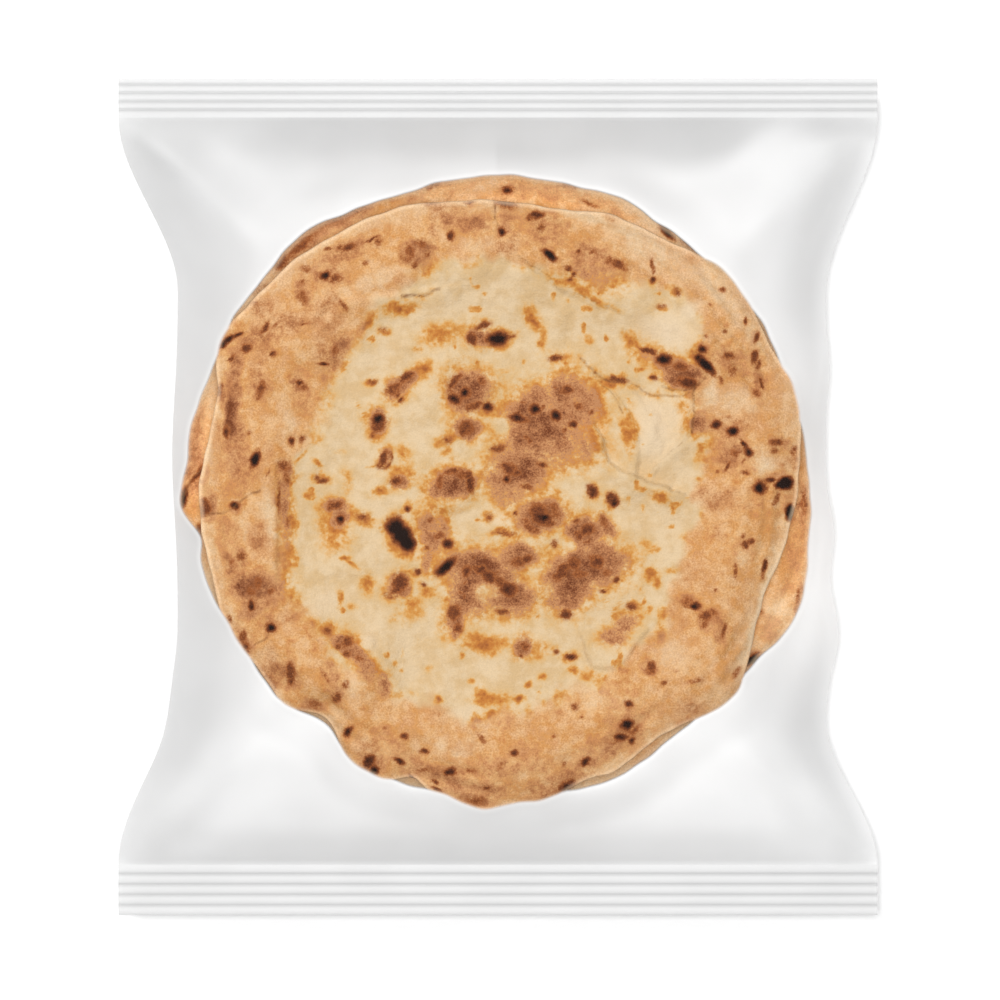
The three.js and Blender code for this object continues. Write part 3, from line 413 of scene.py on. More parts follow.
def bell(distance, reach):
    """1 where distance is 0, falling away on both sides over the reach, as a normal curve does."""
    return np.exp(-np.square(distance / reach))


def mix(a, b, share):
    """The value that lies this share of the way from a to b."""
    return a + (b - a) * share


def noise(x, y, size, seed):
    """A smooth random field between about -1 and 1. Random heights stand on a square lattice, size apart, and the
    field eases from each to the next."""
    heights = np.random.default_rng(seed).uniform(-1.0, 1.0, (LATTICE, LATTICE))
    u, v = x / size + LATTICE_SHIFT[0] * LATTICE, y / size + LATTICE_SHIFT[1] * LATTICE
    i, j = np.floor(u).astype(int), np.floor(v).astype(int)
    share_u, share_v = ease(u - i), ease(v - j)
    i, j, next_i, next_j = i % LATTICE, j % LATTICE, (i + 1) % LATTICE, (j + 1) % LATTICE
    near = mix(heights[i, j], heights[next_i, j], share_u)
    far = mix(heights[i, next_j], heights[next_i, next_j], share_u)
    return mix(near, far, share_v)


def cloud(x, y, size, seed, octaves=3):
    """Noise with finer noise on top: each octave is half as large and half as high as the last."""
    total = np.zeros_like(x)
    for octave in range(octaves):
        total += noise(x, y, size / 2 ** octave, seed + 101 * octave) / 2 ** octave
    return total


# ---- The form of the bread ----

def edge_radius(base, angle):
    """The base's radius in each direction: its mean, a bell-shaped bump or hollow at some angles, and fine waves that
    run a whole number of times round it."""
    degrees = np.degrees(angle)
    radius = np.full_like(degrees, base["radius"])
    for at, reach, height in base["bumps"]:
        away = (degrees - at + 180.0) % 360.0 - 180.0
        radius += height * bell(away, reach)
    phases = np.random.default_rng(base["seed"]).uniform(0.0, 2.0 * math.pi, len(EDGE_WAVES))
    for (count, height), phase in zip(EDGE_WAVES, phases):
        radius += height * np.sin(count * angle + phase)
    return radius


def share_out(base, x, y):
    """How far out a point lies, as a share of the base's radius in its direction: 0 in the middle, 1 on the edge."""
    dx, dy = x - base["centre"][0], y - base["centre"][1]
    return np.hypot(dx, dy) / edge_radius(base, np.arctan2(dy, dx))


def mark_reach(x, y, mark):
    """Distance from the centre of a mark's ellipse, as a share of the way to its outline: 1 on it."""
    pixel_x, pixel_y, half_length, half_width, *turn, _ = mark
    centre_x, centre_y = place(pixel_x, pixel_y)
    turn = math.radians(sum(turn))
    cosine, sine = math.cos(turn), math.sin(turn)
    dx, dy = x - centre_x, y - centre_y
    along = (dx * cosine + dy * sine) / (half_length * PIXEL)
    across = (dy * cosine - dx * sine) / (half_width * PIXEL)
    return np.hypot(along, across)


def line_distance(x, y, pixels):
    """The distance of each point from a line of straight stretches, and its side: 1 on the left of the line, -1 on
    the right. The nearest stretch decides both."""
    nearest = np.full_like(x, np.inf)
    side = np.ones_like(x)
    places = [place(*pixel) for pixel in pixels]
    for (ax, ay), (bx, by) in zip(places, places[1:]):
        run_x, run_y = bx - ax, by - ay
        share = np.clip(((x - ax) * run_x + (y - ay) * run_y) / (run_x ** 2 + run_y ** 2), 0.0, 1.0)
        away_x, away_y = x - ax - share * run_x, y - ay - share * run_y
        distance = np.hypot(away_x, away_y)
        closer = distance < nearest
        nearest = np.where(closer, distance, nearest)
        side = np.where(closer, np.sign(run_x * away_y - run_y * away_x), side)
    return nearest, side


def dough_relief(base, x, y):
    """The unevenness of the top: soft waves, short ones, and on the rim wrinkles that run round it. A wrinkle is a
    sine of the distance from the middle whose phase and height wander as soft noise does."""
    seed = base["seed"]
    away = np.hypot(x - base["centre"][0], y - base["centre"][1])
    waves = sum(height * cloud(x, y, size, seed + turn, 2) for turn, (size, height) in enumerate(DOUGH_WAVES))
    phase = 2.0 * math.pi * away / WRINKLE_PITCH + 3.5 * cloud(x, y, 44.0, seed + 3, 2)
    wrinkles = np.sin(phase) * ease(noise(x, y, 21.0, seed + 4) + 0.45)
    on_rim = ease((away / base["radius"] - 0.78) / 0.10)
    return waves + WRINKLE_HEIGHT * wrinkles * on_rim


def upper_relief(x, y):
    """What only the upper base has: swells, domed blisters, folds that stand up on one side of a line, and creases."""
    relief = np.zeros_like(x)
    for at_x, at_y, reach, height in SWELLS:
        relief += height * bell(np.hypot(x - at_x, y - at_y), reach)
    for blister in BLISTERS:
        relief += blister[-1] * ease(1.15 - mark_reach(x, y, blister) ** 2)
    x, y = warp(x, y, *CREASE_WARP)
    for height, reach, pixels in FOLDS:
        distance, side = line_distance(x, y, pixels)
        relief += height * np.where(side > 0, bell(distance, reach), bell(distance, FOLD_DROP))
    for depth, half_width, _, pixels in CREASES:
        relief -= depth * bell(line_distance(x, y, pixels)[0], half_width)
    return relief


def crust_top(base, x, y, share):
    """The height of a base's top: a low middle, swelling in a bell to the rim's crest, that rolls over into the side
    along a quarter of an ellipse squared off a little. The unevenness fades out towards the edge."""
    swollen = mix(base["middle"], base["crest"], bell(share - RIM_CREST, RIM_REACH))
    swollen += dough_relief(base, x, y)
    if base is UPPER_BASE:
        swollen += upper_relief(x, y)
    outward = np.clip((share - EDGE_ROLL) / (1.0 - EDGE_ROLL), 0.0, 1.0)
    return base["side"] + (swollen - base["side"]) * (1.0 - outward ** ROLL_POWER) ** (1.0 / ROLL_POWER)


def crust_underside(base, x, y, share):
    """The height of a base's underside: nearly flat, and rising over a quarter of an ellipse to the side."""
    middle, rim = base["floor"]
    flat = mix(middle, rim, ease(share / RIM_CREST))
    outward = np.clip((share - UNDER_ROLL) / (1.0 - UNDER_ROLL), 0.0, 1.0)
    return base["side"] - (base["side"] - flat) * np.sqrt(1.0 - outward ** 2)


# ---- The form of the film ----

def side_inset(side, y):
    """How far a side of the bag has drawn in at y: its pinch less its bulges, eased in from both seams."""
    inset = np.full_like(y, side["pinch"])
    for at, reach, height in side["bulges"]:
        inset -= height * bell(y - at, reach)
    return inset * ease((TOP_SEAM - y) / side["top"]) * ease((y - BOTTOM_SEAM) / side["bottom"])


def from_corner(x, from_seam):
    """How far a point lies from the nearest corner of the bag's body, along the corner's diagonal and beside it."""
    in_x = BAG_WIDTH / 2 - np.abs(x)
    return (in_x + from_seam) / math.sqrt(2), (in_x - from_seam) / math.sqrt(2)


def corner_fold_height(x, y, from_side):
    """Ridges and hollows that run in from each corner at 45 degrees, and die out at the bag's edge and further in."""
    in_y = np.where(y > 0, TOP_SEAM, -BOTTOM_SEAM) - np.abs(y)
    along, beside = from_corner(x, in_y)
    height = sum(rise * bell(beside - at, reach) for at, reach, rise in CORNER_FOLDS)
    window = ease((along - FOLD_START) / FOLD_RISE) * (1.0 - ease((along - FOLD_END) / FOLD_FALL))
    return height * window * ease(from_side / FOLD_MARGIN) * ease(in_y / FOLD_MARGIN)


def crimp_wave(seal, along):
    """The height of a crimped seal from its seam outwards: rounded crests with narrow grooves between them, as the
    size of a sine raised to a power well below 1."""
    return np.abs(np.sin(math.pi * along / seal["pitch"])) ** CRIMP_POWER - CRIMP_DROP


def lower_film(x, y):
    """The height of the lower film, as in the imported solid. Along each line out from the lower base's middle it is
    flat over the resting patch, and then rises with the square of the way to the bag's edge."""
    centre_x, centre_y = LOWER_BASE["centre"]
    border_y = np.linspace(BOTTOM_SEAM, TOP_SEAM, BORDER_POINTS)
    left = -BAG_WIDTH / 2 + side_inset(LEFT_SIDE, border_y)
    right = BAG_WIDTH / 2 - side_inset(RIGHT_SIDE, border_y)
    seam_x = np.linspace(-BAG_WIDTH / 2, BAG_WIDTH / 2, BORDER_POINTS)
    border_x = np.concatenate([left, right, seam_x, seam_x])
    seams_y = np.repeat([BOTTOM_SEAM, TOP_SEAM], BORDER_POINTS)
    border_y = np.concatenate([border_y, border_y, seams_y])
    angles = np.arctan2(border_y - centre_y, border_x - centre_x)
    reaches = np.hypot(border_x - centre_x, border_y - centre_y)
    order = np.argsort(angles)
    angle, reach = np.arctan2(y - centre_y, x - centre_x), np.hypot(x - centre_x, y - centre_y)
    edge = np.interp(angle, angles[order], reaches[order], period=2 * math.pi)
    resting = LOWER_BASE["radius"] * RESTING_SHARE
    outward = np.clip((reach - resting) / (edge - resting), 0.0, 1.0)
    return SEAM_HEIGHT * outward ** 2


def stretch_film(floor, load, start, across_pull, along_pull):
    """Stretches a membrane over a floor, with its border held: each point settles at the mean of its neighbours, less
    its load, and never below its floor. The points are relaxed as the two colours of a chessboard, in turn."""
    heights = start.copy()
    rows, columns = np.indices(heights.shape)
    inside = np.zeros(heights.shape, bool)
    inside[1:-1, 1:-1] = True
    colours = [np.nonzero(inside & ((rows + columns) % 2 == parity)) for parity in (0, 1)]
    for _ in range(SWEEPS):
        for row, column in colours:
            across = across_pull[row, column]
            pulled = across * (heights[row, column - 1] + heights[row, column + 1])
            pulled += along_pull * (heights[row - 1, column] + heights[row + 1, column])
            settled = (pulled - load[row, column]) / (2.0 * (across + along_pull))
            relaxed = mix(heights[row, column], settled, OVER_RELAX)
            heights[row, column] = np.maximum(floor[row, column], relaxed)
    return heights


# ---- Meshes ----

EDGE_CROWDING = 1.25  # how much the cells of a base's top, and the rings under it, crowd towards its edge
RING_CROWDING = 1.8


def make_object(name, points, faces, attributes):
    """A mesh object in metres from points in millimetres, faces as rows of indices, and one number a point for each
    named attribute. All faces are smooth."""
    mesh = bpy.data.meshes.new(name)
    corners = np.concatenate([face_set.ravel() for face_set in faces]).astype(np.int32)
    sizes = np.concatenate([np.full(len(face_set), face_set.shape[1]) for face_set in faces]).astype(np.int32)
    mesh.vertices.add(len(points))
    mesh.vertices.foreach_set("co", (points * MM).astype(np.float32).ravel())
    mesh.loops.add(len(corners))
    mesh.loops.foreach_set("vertex_index", corners)
    mesh.polygons.add(len(sizes))
    mesh.polygons.foreach_set("loop_start", np.concatenate([[0], np.cumsum(sizes)[:-1]]).astype(np.int32))
    mesh.polygons.foreach_set("loop_total", sizes)
    mesh.update(calc_edges=True)
    mesh.shade_smooth()
    for attribute, values in attributes.items():
        layer = mesh.attributes.new(attribute, "FLOAT", "POINT")
        layer.data.foreach_set("value", values.astype(np.float32))
    if mesh.validate():
        raise RuntimeError(f"{name} has faces that aren't valid")
    made = bpy.data.objects.new(name, mesh)
    bpy.context.scene.collection.objects.link(made)
    return made


def grid_faces(index):
    """The four-cornered faces of a grid of point numbers, anticlockwise where its rows run along +X and follow each
    other along +Y."""
    return np.stack([index[:-1, :-1], index[:-1, 1:], index[1:, 1:], index[1:, :-1]], axis=-1).reshape(-1, 4)


def round_border(index):
    """The border of a grid of point numbers, anticlockwise and closed."""
    bottom, right = index[0, :-1], index[:-1, -1]
    top, left = index[-1, :0:-1], index[:0:-1, 0]
    return np.concatenate([bottom, right, top, left, index[0, :1]])


def disc_grid(cells):
    """A square grid pressed into a disc: each square ring becomes a circle, so that the cells stay nearly equal.
    Returns the share of the radius and the angle of each point."""
    side = np.linspace(-1.0, 1.0, cells + 1)
    a, b = np.meshgrid(side, side)
    wide = np.abs(a) >= np.abs(b)
    ring = np.where(wide, a, b)
    lean = np.divide(np.where(wide, b, a), ring, out=np.zeros_like(a), where=ring != 0)
    angle = np.where(wide, lean * math.pi / 4, math.pi / 2 - lean * math.pi / 4)
    angle = np.where(ring < 0, angle + math.pi, angle)
    return np.abs(ring), angle


# ---- The marks of the oven ----

MARK_FALL = 0.7  # the power of e by which a mark has faded at its outline
MARK_LIMIT = 2.3  # how many times its size a mark reaches out


def warp(x, y, size, amount, seed):
    """Moves each point by a soft random amount, so that a shape worked out from its new place wanders."""
    return x + amount * cloud(x, y, size, seed, 2), y + amount * cloud(x, y, size, seed + 50, 2)


def add_marks(field, x, y, marks, gain=1.0, spread=1.0, steepness=2.0):
    """Raises the field to each mark's strength times the gain: wholly in its middle, to half at its outline times the
    spread, and hardly at twice that. A higher steepness makes a flat patch with a narrow fringe."""
    for mark in marks:
        centre_x, centre_y = place(*mark[:2])
        limit = MARK_LIMIT * spread * max(mark[2:4]) * PIXEL
        near = np.nonzero(np.hypot(x - centre_x, y - centre_y) < limit)[0]
        share = np.exp(-MARK_FALL * (mark_reach(x[near], y[near], mark) / spread) ** steepness)
        field[near] = np.maximum(field[near], gain * mark[-1] * share)
    return field


def grown(marks, by):
    """The same marks with outlines further out, by so many pixels."""
    return [(*mark[:2], mark[2] + by, mark[3] + by, *mark[4:]) for mark in marks]


def cream_edge(angle):
    """Where the pale middle ends in each direction, as a share of the radius, from a few directions given."""
    angles, shares = np.radians(CREAM_EDGE).T[0], np.array(CREAM_EDGE)[:, 1]
    return np.interp(angle, angles, shares, period=2.0 * math.pi)


def bread_fields(base, x, y, share):
    """How each point of a base is baked. Amber, toast and burn are how far each of the three has come, from 0 to about
    1; rim is the share of the rim's tan; pale is the share of the flour colour, as flour and, towards the edge and in
    some marks on the rolled rim, as painted light; crease is 1 on a crease, darkened as browning and painted shade;
    and edge is
    1 on the side, which is painted lighter. Each takes the largest of soft random fields and of the marks, whose
    outlines wander as noise does."""
    seed = base["seed"]
    on_top = base is UPPER_BASE
    burns, toasts, stains, pales, creases = UPPER_MARKS if on_top else LOWER_MARKS
    centre_x, centre_y = base["centre"]
    angle = np.arctan2(y - centre_y, x - centre_x)
    from_edge = share - cream_edge(angle)
    from_edge += 0.030 * cloud(x, y, 26.0, seed + 7) + 0.03 * cloud(x, y, 9.0, seed + 8)
    rim = ease((from_edge + 0.03) / 0.06)
    loose = warp(x, y, 8.0, 1.7, seed + 20)
    close = warp(x, y, 4.0, 0.65, seed + 30)

    toast = rim * 0.58 * ease((cloud(x, y, 17.0, seed + 9, 3) + 0.25) / 1.3)
    patches = [(*mark[:-1], 2.7 * (mark[-1] - 0.16)) for mark in toasts]
    toast = add_marks(toast, *loose, patches, steepness=3.2)
    toast *= (1.0 - 0.14 * rim) * (1.0 + 0.30 * cloud(x, y, 11.0, seed + 16))

    fringe = bell(from_edge, 0.045) * ease((cloud(x, y, 9.0, seed + 15) + 0.5) / 1.2)
    amber = np.maximum(0.60 * fringe, 0.28 * rim)
    flecks = noise(x, y, 3.6, seed + 12) + 0.7 * noise(x, y, 13.0, seed + 13)
    amber = np.maximum(amber, 0.6 * ease((flecks - 0.72) / 0.5))
    for marks, gain, spread in ((stains, 1.8, 1.15), (toasts, 1.75, 1.30), (grown(burns, 3.0), 0.9, 1.0)):
        amber = add_marks(amber, *loose, marks, gain, spread)

    freckles = noise(x, y, 2.4, seed + 10) + 0.5 * noise(x, y, 9.0, seed + 11)
    burn = 0.55 * ease((toast - 0.3) / 0.5) * ease((freckles - 0.62) / 0.5)
    for mark in burns:
        burn = add_marks(burn, *close, [mark], steepness=3.2 if mark[3] > WIDE_BURN else 2.2)
    burn *= 1.0 - 0.16 * rim * (1.0 - ease((burn - 0.6) / 0.3))

    pale = add_marks(np.zeros_like(x), *loose, pales, steepness=3.0)
    # Paler towards the edge: painted light on the rolled side, in the flour colour.
    patchy = ease(noise(x, y, 20.0, seed + 18) + 0.8)
    pale = np.maximum(pale, (0.45 if on_top else 0.65) * ease((share - 0.92) / 0.07) * patchy)
    if on_top:
        for ring in RINGS:
            around = bell(mark_reach(*loose, ring) - 0.9, 0.26)
            burn = np.maximum(burn, ring[-1] * around * ease(noise(x, y, 7.0, seed + 19) + 0.6))
        hole = add_marks(np.zeros_like(x), *loose, HOLES, steepness=3.0)
        toast, amber = toast * (1.0 - hole), amber * (1.0 - 0.8 * hole)
    pale *= 1.0 - 0.8 * ease(np.maximum(toast, burn) / 0.7)

    # A crease is darkened as browning and as painted shade in the fold.
    crease = np.zeros_like(x)
    bent = warp(x, y, *CREASE_WARP)
    broken = ease(noise(x, y, 9.0, seed + 21) + 0.8)
    for _, _, darkness, pixels in creases:
        distance, _ = line_distance(*bent, pixels)
        crease = np.maximum(crease, darkness * (1.0 - distance / 1.8))
        amber = np.maximum(amber, 0.75 * (darkness - 0.4) * bell(distance, 3.0) * broken)
    return {
        "amber": amber, "toast": toast, "burn": burn, "rim": rim, "pale": pale, "crease": crease,
        # Edge is 1 on the side of a base, which the crust's material paints lighter as painted light.
        "edge": ease((share - 0.980) / 0.015),
    }


def make_base(name, base, cells, rings):
    """One base, as a closed mesh: a disc grid for its top, which crowds towards the edge, and rings of the underside
    that run from the same edge in to a point."""
    spread, angle = disc_grid(cells)
    share = 1.0 - (1.0 - spread) ** EDGE_CROWDING
    radius = edge_radius(base, angle)
    centre_x, centre_y = base["centre"]
    x, y = centre_x + share * radius * np.cos(angle), centre_y + share * radius * np.sin(angle)
    z = crust_top(base, x, y, share)
    index = np.arange(x.size).reshape(x.shape)
    points = [np.stack([x, y, z], axis=-1).reshape(-1, 3)]
    shares = [share.ravel()]

    border = round_border(index)[:-1]
    border_angle, border_radius = angle.ravel()[border], radius.ravel()[border]
    ring_shares = 1.0 - np.linspace(0.0, 1.0, rings + 1)[1:-1] ** RING_CROWDING
    ring_x = centre_x + ring_shares[:, None] * border_radius * np.cos(border_angle)
    ring_y = centre_y + ring_shares[:, None] * border_radius * np.sin(border_angle)
    ring_share = np.broadcast_to(ring_shares[:, None], ring_x.shape)
    ring_z = crust_underside(base, ring_x, ring_y, ring_share)
    if base is UPPER_BASE:
        below = share_out(LOWER_BASE, ring_x, ring_y)
        rest = crust_top(LOWER_BASE, ring_x, ring_y, below) + STACK_GAP
        ring_z = np.where(below < 1.0, np.maximum(ring_z, rest), ring_z)
        thinnest = LEAST_DOUGH * (1 - ring_share) ** 0.5
        ring_z = np.minimum(ring_z, crust_top(base, ring_x, ring_y, ring_share) - thinnest)
    points.append(np.stack([ring_x, ring_y, ring_z], axis=-1).reshape(-1, 3))
    shares.append(ring_share.ravel())
    points.append(np.array([[centre_x, centre_y, base["floor"][0]]]))
    shares.append(np.zeros(1))

    rounds = np.arange(ring_x.size).reshape(ring_x.shape) + x.size
    loops = np.concatenate([border[None, :], rounds])
    loops = np.concatenate([loops, loops[:, :1]], axis=1)
    pole = np.full(loops.shape[1] - 1, x.size + ring_x.size)
    fan = np.stack([loops[-1, :-1], pole, loops[-1, 1:]], axis=-1)
    points, shares = np.concatenate(points), np.concatenate(shares)
    fields = bread_fields(base, points[:, 0], points[:, 1], shares)
    return make_object(name, points, [grid_faces(index), grid_faces(loops)[:, ::-1], fan], fields)


def film_painted_shade(x, y, from_side, from_seam, clear):
    """The film's painted shade, from 0 for white to about 1 for grey: a painted shade band along each side, palest at
    the very edge, a deeper one along each seam with a wavy margin, a painted highlight streak that cuts across both at
    each corner, and soft painted shades between."""
    left, right, upper, lower = x < 0, x > 0, y > 0, y < 0
    far_x, far_y = np.abs(x), np.abs(y)
    along, beside = from_corner(x, from_seam)

    left_width = 12.0 + 3.0 * ease((far_y - 50.0) / 30.0)
    right_width = 9.0 + 4.0 * ease((y + 60.0) / -80.0) + 5.0 * ease((y - 60.0) / 80.0)
    side_band = 0.55 + 0.45 * ease(from_side / 8.0)
    side_band *= 1.0 - ease((from_side - np.where(left, left_width, right_width)) / 17.0)
    middle_right = np.where(left, 0.0, 1.0 - ease((np.abs(y + 5.0) - 40.0) / 70.0))
    side_band *= np.where(left, 1.0, 0.60) * (1.0 - middle_right)

    top_margin = 14.0 + 3.5 * noise(x, 0.0 * y, 38.0, 61) - 11.0 * ease((x - 105.0) / 30.0)
    bottom_margin = 10.0 + 7.0 * np.abs(np.sin(math.pi * (x + 118.0) / 110.0))
    seam_band = 1.0 - ease((from_seam - np.where(upper, top_margin, bottom_margin)) / 15.0)
    seam_band *= np.where(upper, 1.0, 0.12)

    start = np.where(upper, np.where(right, 31.0, 24.0), 4.0)
    # The streak is a painted highlight.
    streak = bell(beside - (start - 0.1 * along), 8.0) * ease((along - 14.0) / 40.0)
    painted_shade = np.maximum(side_band, seam_band) * (1.0 - 0.85 * streak)
    corner = bell(beside, 11.0) * (1.0 - ease((along - 26.0) / 34.0)) * np.where(left, 1.0, 0.4)
    painted_shade = np.maximum(painted_shade, corner) + left * upper * corner
    painted_shade = mix(LEVEL_PAINTED_SHADE - LEAN * x - TWIST * x * y, TURNED_PAINTED_SHADE, painted_shade) + 0.02 * noise(x, y, 34.0, 81)
    painted_shade += 0.14 * upper * seam_band * (1.0 - streak) * (1.0 - ease((far_x - 95.0) / 40.0))

    # Painted shade and painted light beside the bread, along the right edge, on the upper left corner's ridge, and
    # over the level parts.
    inner = ease((from_side - 30.0) / 18.0)
    near = np.where(right, 0.10 + 0.14 * upper, -0.04) * mix(0.5 * upper, 1.0, ease((far_x - 30.0) / 40.0))
    painted_shade += near * bell(clear - 6.0, 9.0) * inner
    painted_shade -= 0.24 * right * (1.0 - ease(from_side / 9.0)) * ease(from_seam / 20.0)
    ridge = 0.20 * bell(beside, 6.0) * ease((along - 6.0) / 10.0) * (1.0 - ease((along - 22.0) / 30.0))
    painted_shade += ridge * left * upper
    level = inner * ease((clear - 12.0) / 10.0) * ease((from_seam - 10.0) / 12.0)
    painted_shade -= np.where(lower, 0.21, 0.08) * level
    painted_shade -= 0.11 * lower * ease((far_x - 30.0) / 50.0) * ease((far_y - 125.0) / 20.0)
    painted_shade -= 0.17 * middle_right * (1.0 - ease((from_side - 14.0) / 14.0)) + 0.10 * streak * lower
    return painted_shade


def make_film(settings):
    """The bag as one closed skin. Its grid of points runs from side to side and from end to end, through both crimped
    seals, once for the upper film and once for the lower one, and a narrow wall joins their borders."""
    columns, rows = settings.columns, settings.rows
    half_edge = 0.5 * settings.edge_thickness / MM
    crimp = settings.crimp_depth / MM
    body_y = np.linspace(BOTTOM_SEAM, TOP_SEAM, rows + 1)
    seals = []
    for seal in (BOTTOM_SEAL, TOP_SEAL):
        steps = round(seal["length"] / seal["pitch"] * settings.crimp_steps)
        seals.append(np.linspace(0.0, seal["length"], steps + 1)[1:])
    line_y = np.concatenate([BOTTOM_SEAM - seals[0][::-1], body_y, TOP_SEAM + seals[1]])
    body = slice(len(seals[0]), len(seals[0]) + rows + 1)

    left = -BAG_WIDTH / 2 + side_inset(LEFT_SIDE, line_y)
    right = BAG_WIDTH / 2 - side_inset(RIGHT_SIDE, line_y)
    width = (right - left)[:, None]
    across = np.linspace(0.0, 1.0, columns + 1)
    x = left[:, None] + width * across
    y = np.repeat(line_y[:, None], columns + 1, axis=1)
    from_side = width * np.minimum(across, 1.0 - across)

    bread = np.zeros_like(x)
    clear = np.full_like(x, np.inf)
    for base in (LOWER_BASE, UPPER_BASE):
        share = share_out(base, x, y)
        clear = np.minimum(clear, (share - 1.0) * base["radius"])
        bread = np.maximum(bread, np.where(share < 1.0, crust_top(base, x, y, share), 0.0))
    covers = bread > 0.0
    floor = np.where(covers, bread + settings.film_gap / MM, 0.0)
    load = np.where(covers, CLING, -PUFF)
    start = np.full_like(x, SEAM_HEIGHT + half_edge)
    across_pull = (columns / width * np.ones_like(x)) ** 2
    along_pull = (rows / (TOP_SEAM - BOTTOM_SEAM)) ** 2
    upper_z = start.copy()
    upper_z[body] = stretch_film(floor[body], load[body], start[body], across_pull[body], along_pull)
    folds = np.where(covers, 0.0, corner_fold_height(x, y, from_side))
    upper_z[body] += folds[body]
    below = lower_film(x, y)
    lower_z = below - half_edge * below / SEAM_HEIGHT
    # Where the bread comes close to the bag's side, the lower film passes under it.
    share = share_out(LOWER_BASE, x, y)
    under = crust_underside(LOWER_BASE, x, y, np.minimum(share, 1.0)) - settings.film_gap / MM
    lower_z = np.where(share < TUCK_SHARE, np.clip(lower_z, None, np.maximum(under, 0.0)), lower_z)

    painted_shade = film_painted_shade(x, y, from_side, np.minimum(y - BOTTOM_SEAM, TOP_SEAM - y), clear)
    for seal, out, lines in (
        (BOTTOM_SEAL, seals[0][::-1], slice(0, body.start)),
        (TOP_SEAL, seals[1], slice(body.stop, None)),
    ):
        wave = SEAM_HEIGHT + crimp * crimp_wave(seal, out)[:, None]
        upper_z[lines] = wave + half_edge
        lower_z[lines] = wave - half_edge
        from_groove = np.abs((out / seal["pitch"] + 0.5) % 1.0 - 0.5) * seal["pitch"]
        from_groove = np.where(out < 0.5 * seal["pitch"], np.inf, from_groove)
        # The seals are painted grey, with painted shade in their grooves.
        painted_shade[lines] = SEAL_PAINTED_SHADE + GROOVE_PAINTED_SHADE * bell(from_groove, GROOVE_WIDTH)[:, None]

    index = np.arange(x.size).reshape(x.shape)
    lower_index = index + x.size
    wall = grid_faces(np.stack([round_border(lower_index), round_border(index)]))
    points = np.concatenate([np.stack([x, y, z], axis=-1).reshape(-1, 3) for z in (upper_z, lower_z)])
    faces = [grid_faces(index), grid_faces(lower_index)[:, ::-1], wall]
    made = make_object("clear_film", points, faces, {
        "beside_bread": np.concatenate([clear.ravel(), clear.ravel() + LOWER_FILM_CLEARANCE]),
        "painted_shade": np.tile(painted_shade.ravel(), 2),
    })
    # The wall meets both films at a sharp edge, so that neither darkens towards it.
    on_border = np.zeros((2, x.size), bool)
    on_border[:, round_border(index)] = True
    ends = np.zeros(2 * len(made.data.edges), np.int32)
    made.data.edges.foreach_get("vertices", ends)
    first, last = ends[::2], ends[1::2]
    sharp = on_border.ravel()[first] & on_border.ravel()[last] & (first // x.size == last // x.size)
    made.data.edges.foreach_set("use_edge_sharp", sharp)
    return made


# ---- Materials ----

# The colours that a spot runs through as it bakes.
GLOW_SHADES = (0.12, "light_amber"), (0.40, "amber"), (0.66, "orange"), (0.95, "rust")
TOAST_SHADES = (
    (0.08, "amber"), (0.20, "orange"), (0.36, "light_toast"), (0.62, "toast"), (0.88, "dark_toast"), (1.0, "brown"),
)
BURN_SHADES = (0.08, "toast"), (0.25, "rust"), (0.43, "brown"), (0.60, "dark_brown"), (0.76, "char")
# Sizes of the noises, in millimetres.
BROAD_GRAIN = 15.0
MIDDLING_GRAIN = 5.0
SMALL_GRAIN = 2.0
STREAK_GRAIN = 34.0


def linear(colour):
    """The light that a surface gives back, from a colour of 0 to 255 as the photograph shows it under its light."""
    return tuple(
        (part / 255 / 12.92 if part <= 10 else ((part / 255 + 0.055) / 1.055) ** 2.4) / LIGHT_LEVEL for part in colour
    )


def add_node(tree, kind, inputs=None, **settings):
    """A shader node with its settings made, and each input either set to a value or joined to another's output."""
    node = tree.nodes.new(kind)
    for name, value in settings.items():
        setattr(node, name, value)
    for socket, value in (inputs or {}).items():
        if isinstance(value, bpy.types.NodeSocket):
            tree.links.new(value, node.inputs[socket])
        else:
            node.inputs[socket].default_value = value
    return node


def field_output(tree, name):
    """What one of the mesh's named fields holds at each point."""
    return add_node(tree, "ShaderNodeAttribute", attribute_name=name).outputs["Fac"]


def noise_output(tree, size, detail, roughness=0.55):
    """Noise on the object's own coordinates, its features about as large as size in millimetres."""
    coordinates = add_node(tree, "ShaderNodeTexCoord").outputs["Object"]
    values = {"Vector": coordinates, "Scale": 1.0 / (size * MM), "Detail": detail, "Roughness": roughness}
    return add_node(tree, "ShaderNodeTexNoise", values).outputs["Fac"]


def stretch_output(tree, value, start, end, low=0.0, high=1.0):
    """A value eased from low at its start to high at its end."""
    values = {0: value, 1: start, 2: end, 3: low, 4: high}
    return add_node(tree, "ShaderNodeMapRange", values, interpolation_type="SMOOTHSTEP").outputs[0]


def math_output(tree, operation, a, b, c=0.0):
    """The product, sum or larger of a and b, or with MULTIPLY_ADD their product plus c."""
    return add_node(tree, "ShaderNodeMath", {0: a, 1: b, 2: c}, operation=operation).outputs[0]


def colour_output(tree, share, a, b):
    """Colour a where the share is 0 and b where it is 1."""
    colours = {0: share, 6: a, 7: b}
    for socket in (6, 7):
        if not isinstance(colours[socket], bpy.types.NodeSocket):
            colours[socket] = (*colours[socket], 1.0)
    return add_node(tree, "ShaderNodeMix", colours, data_type="RGBA").outputs[2]


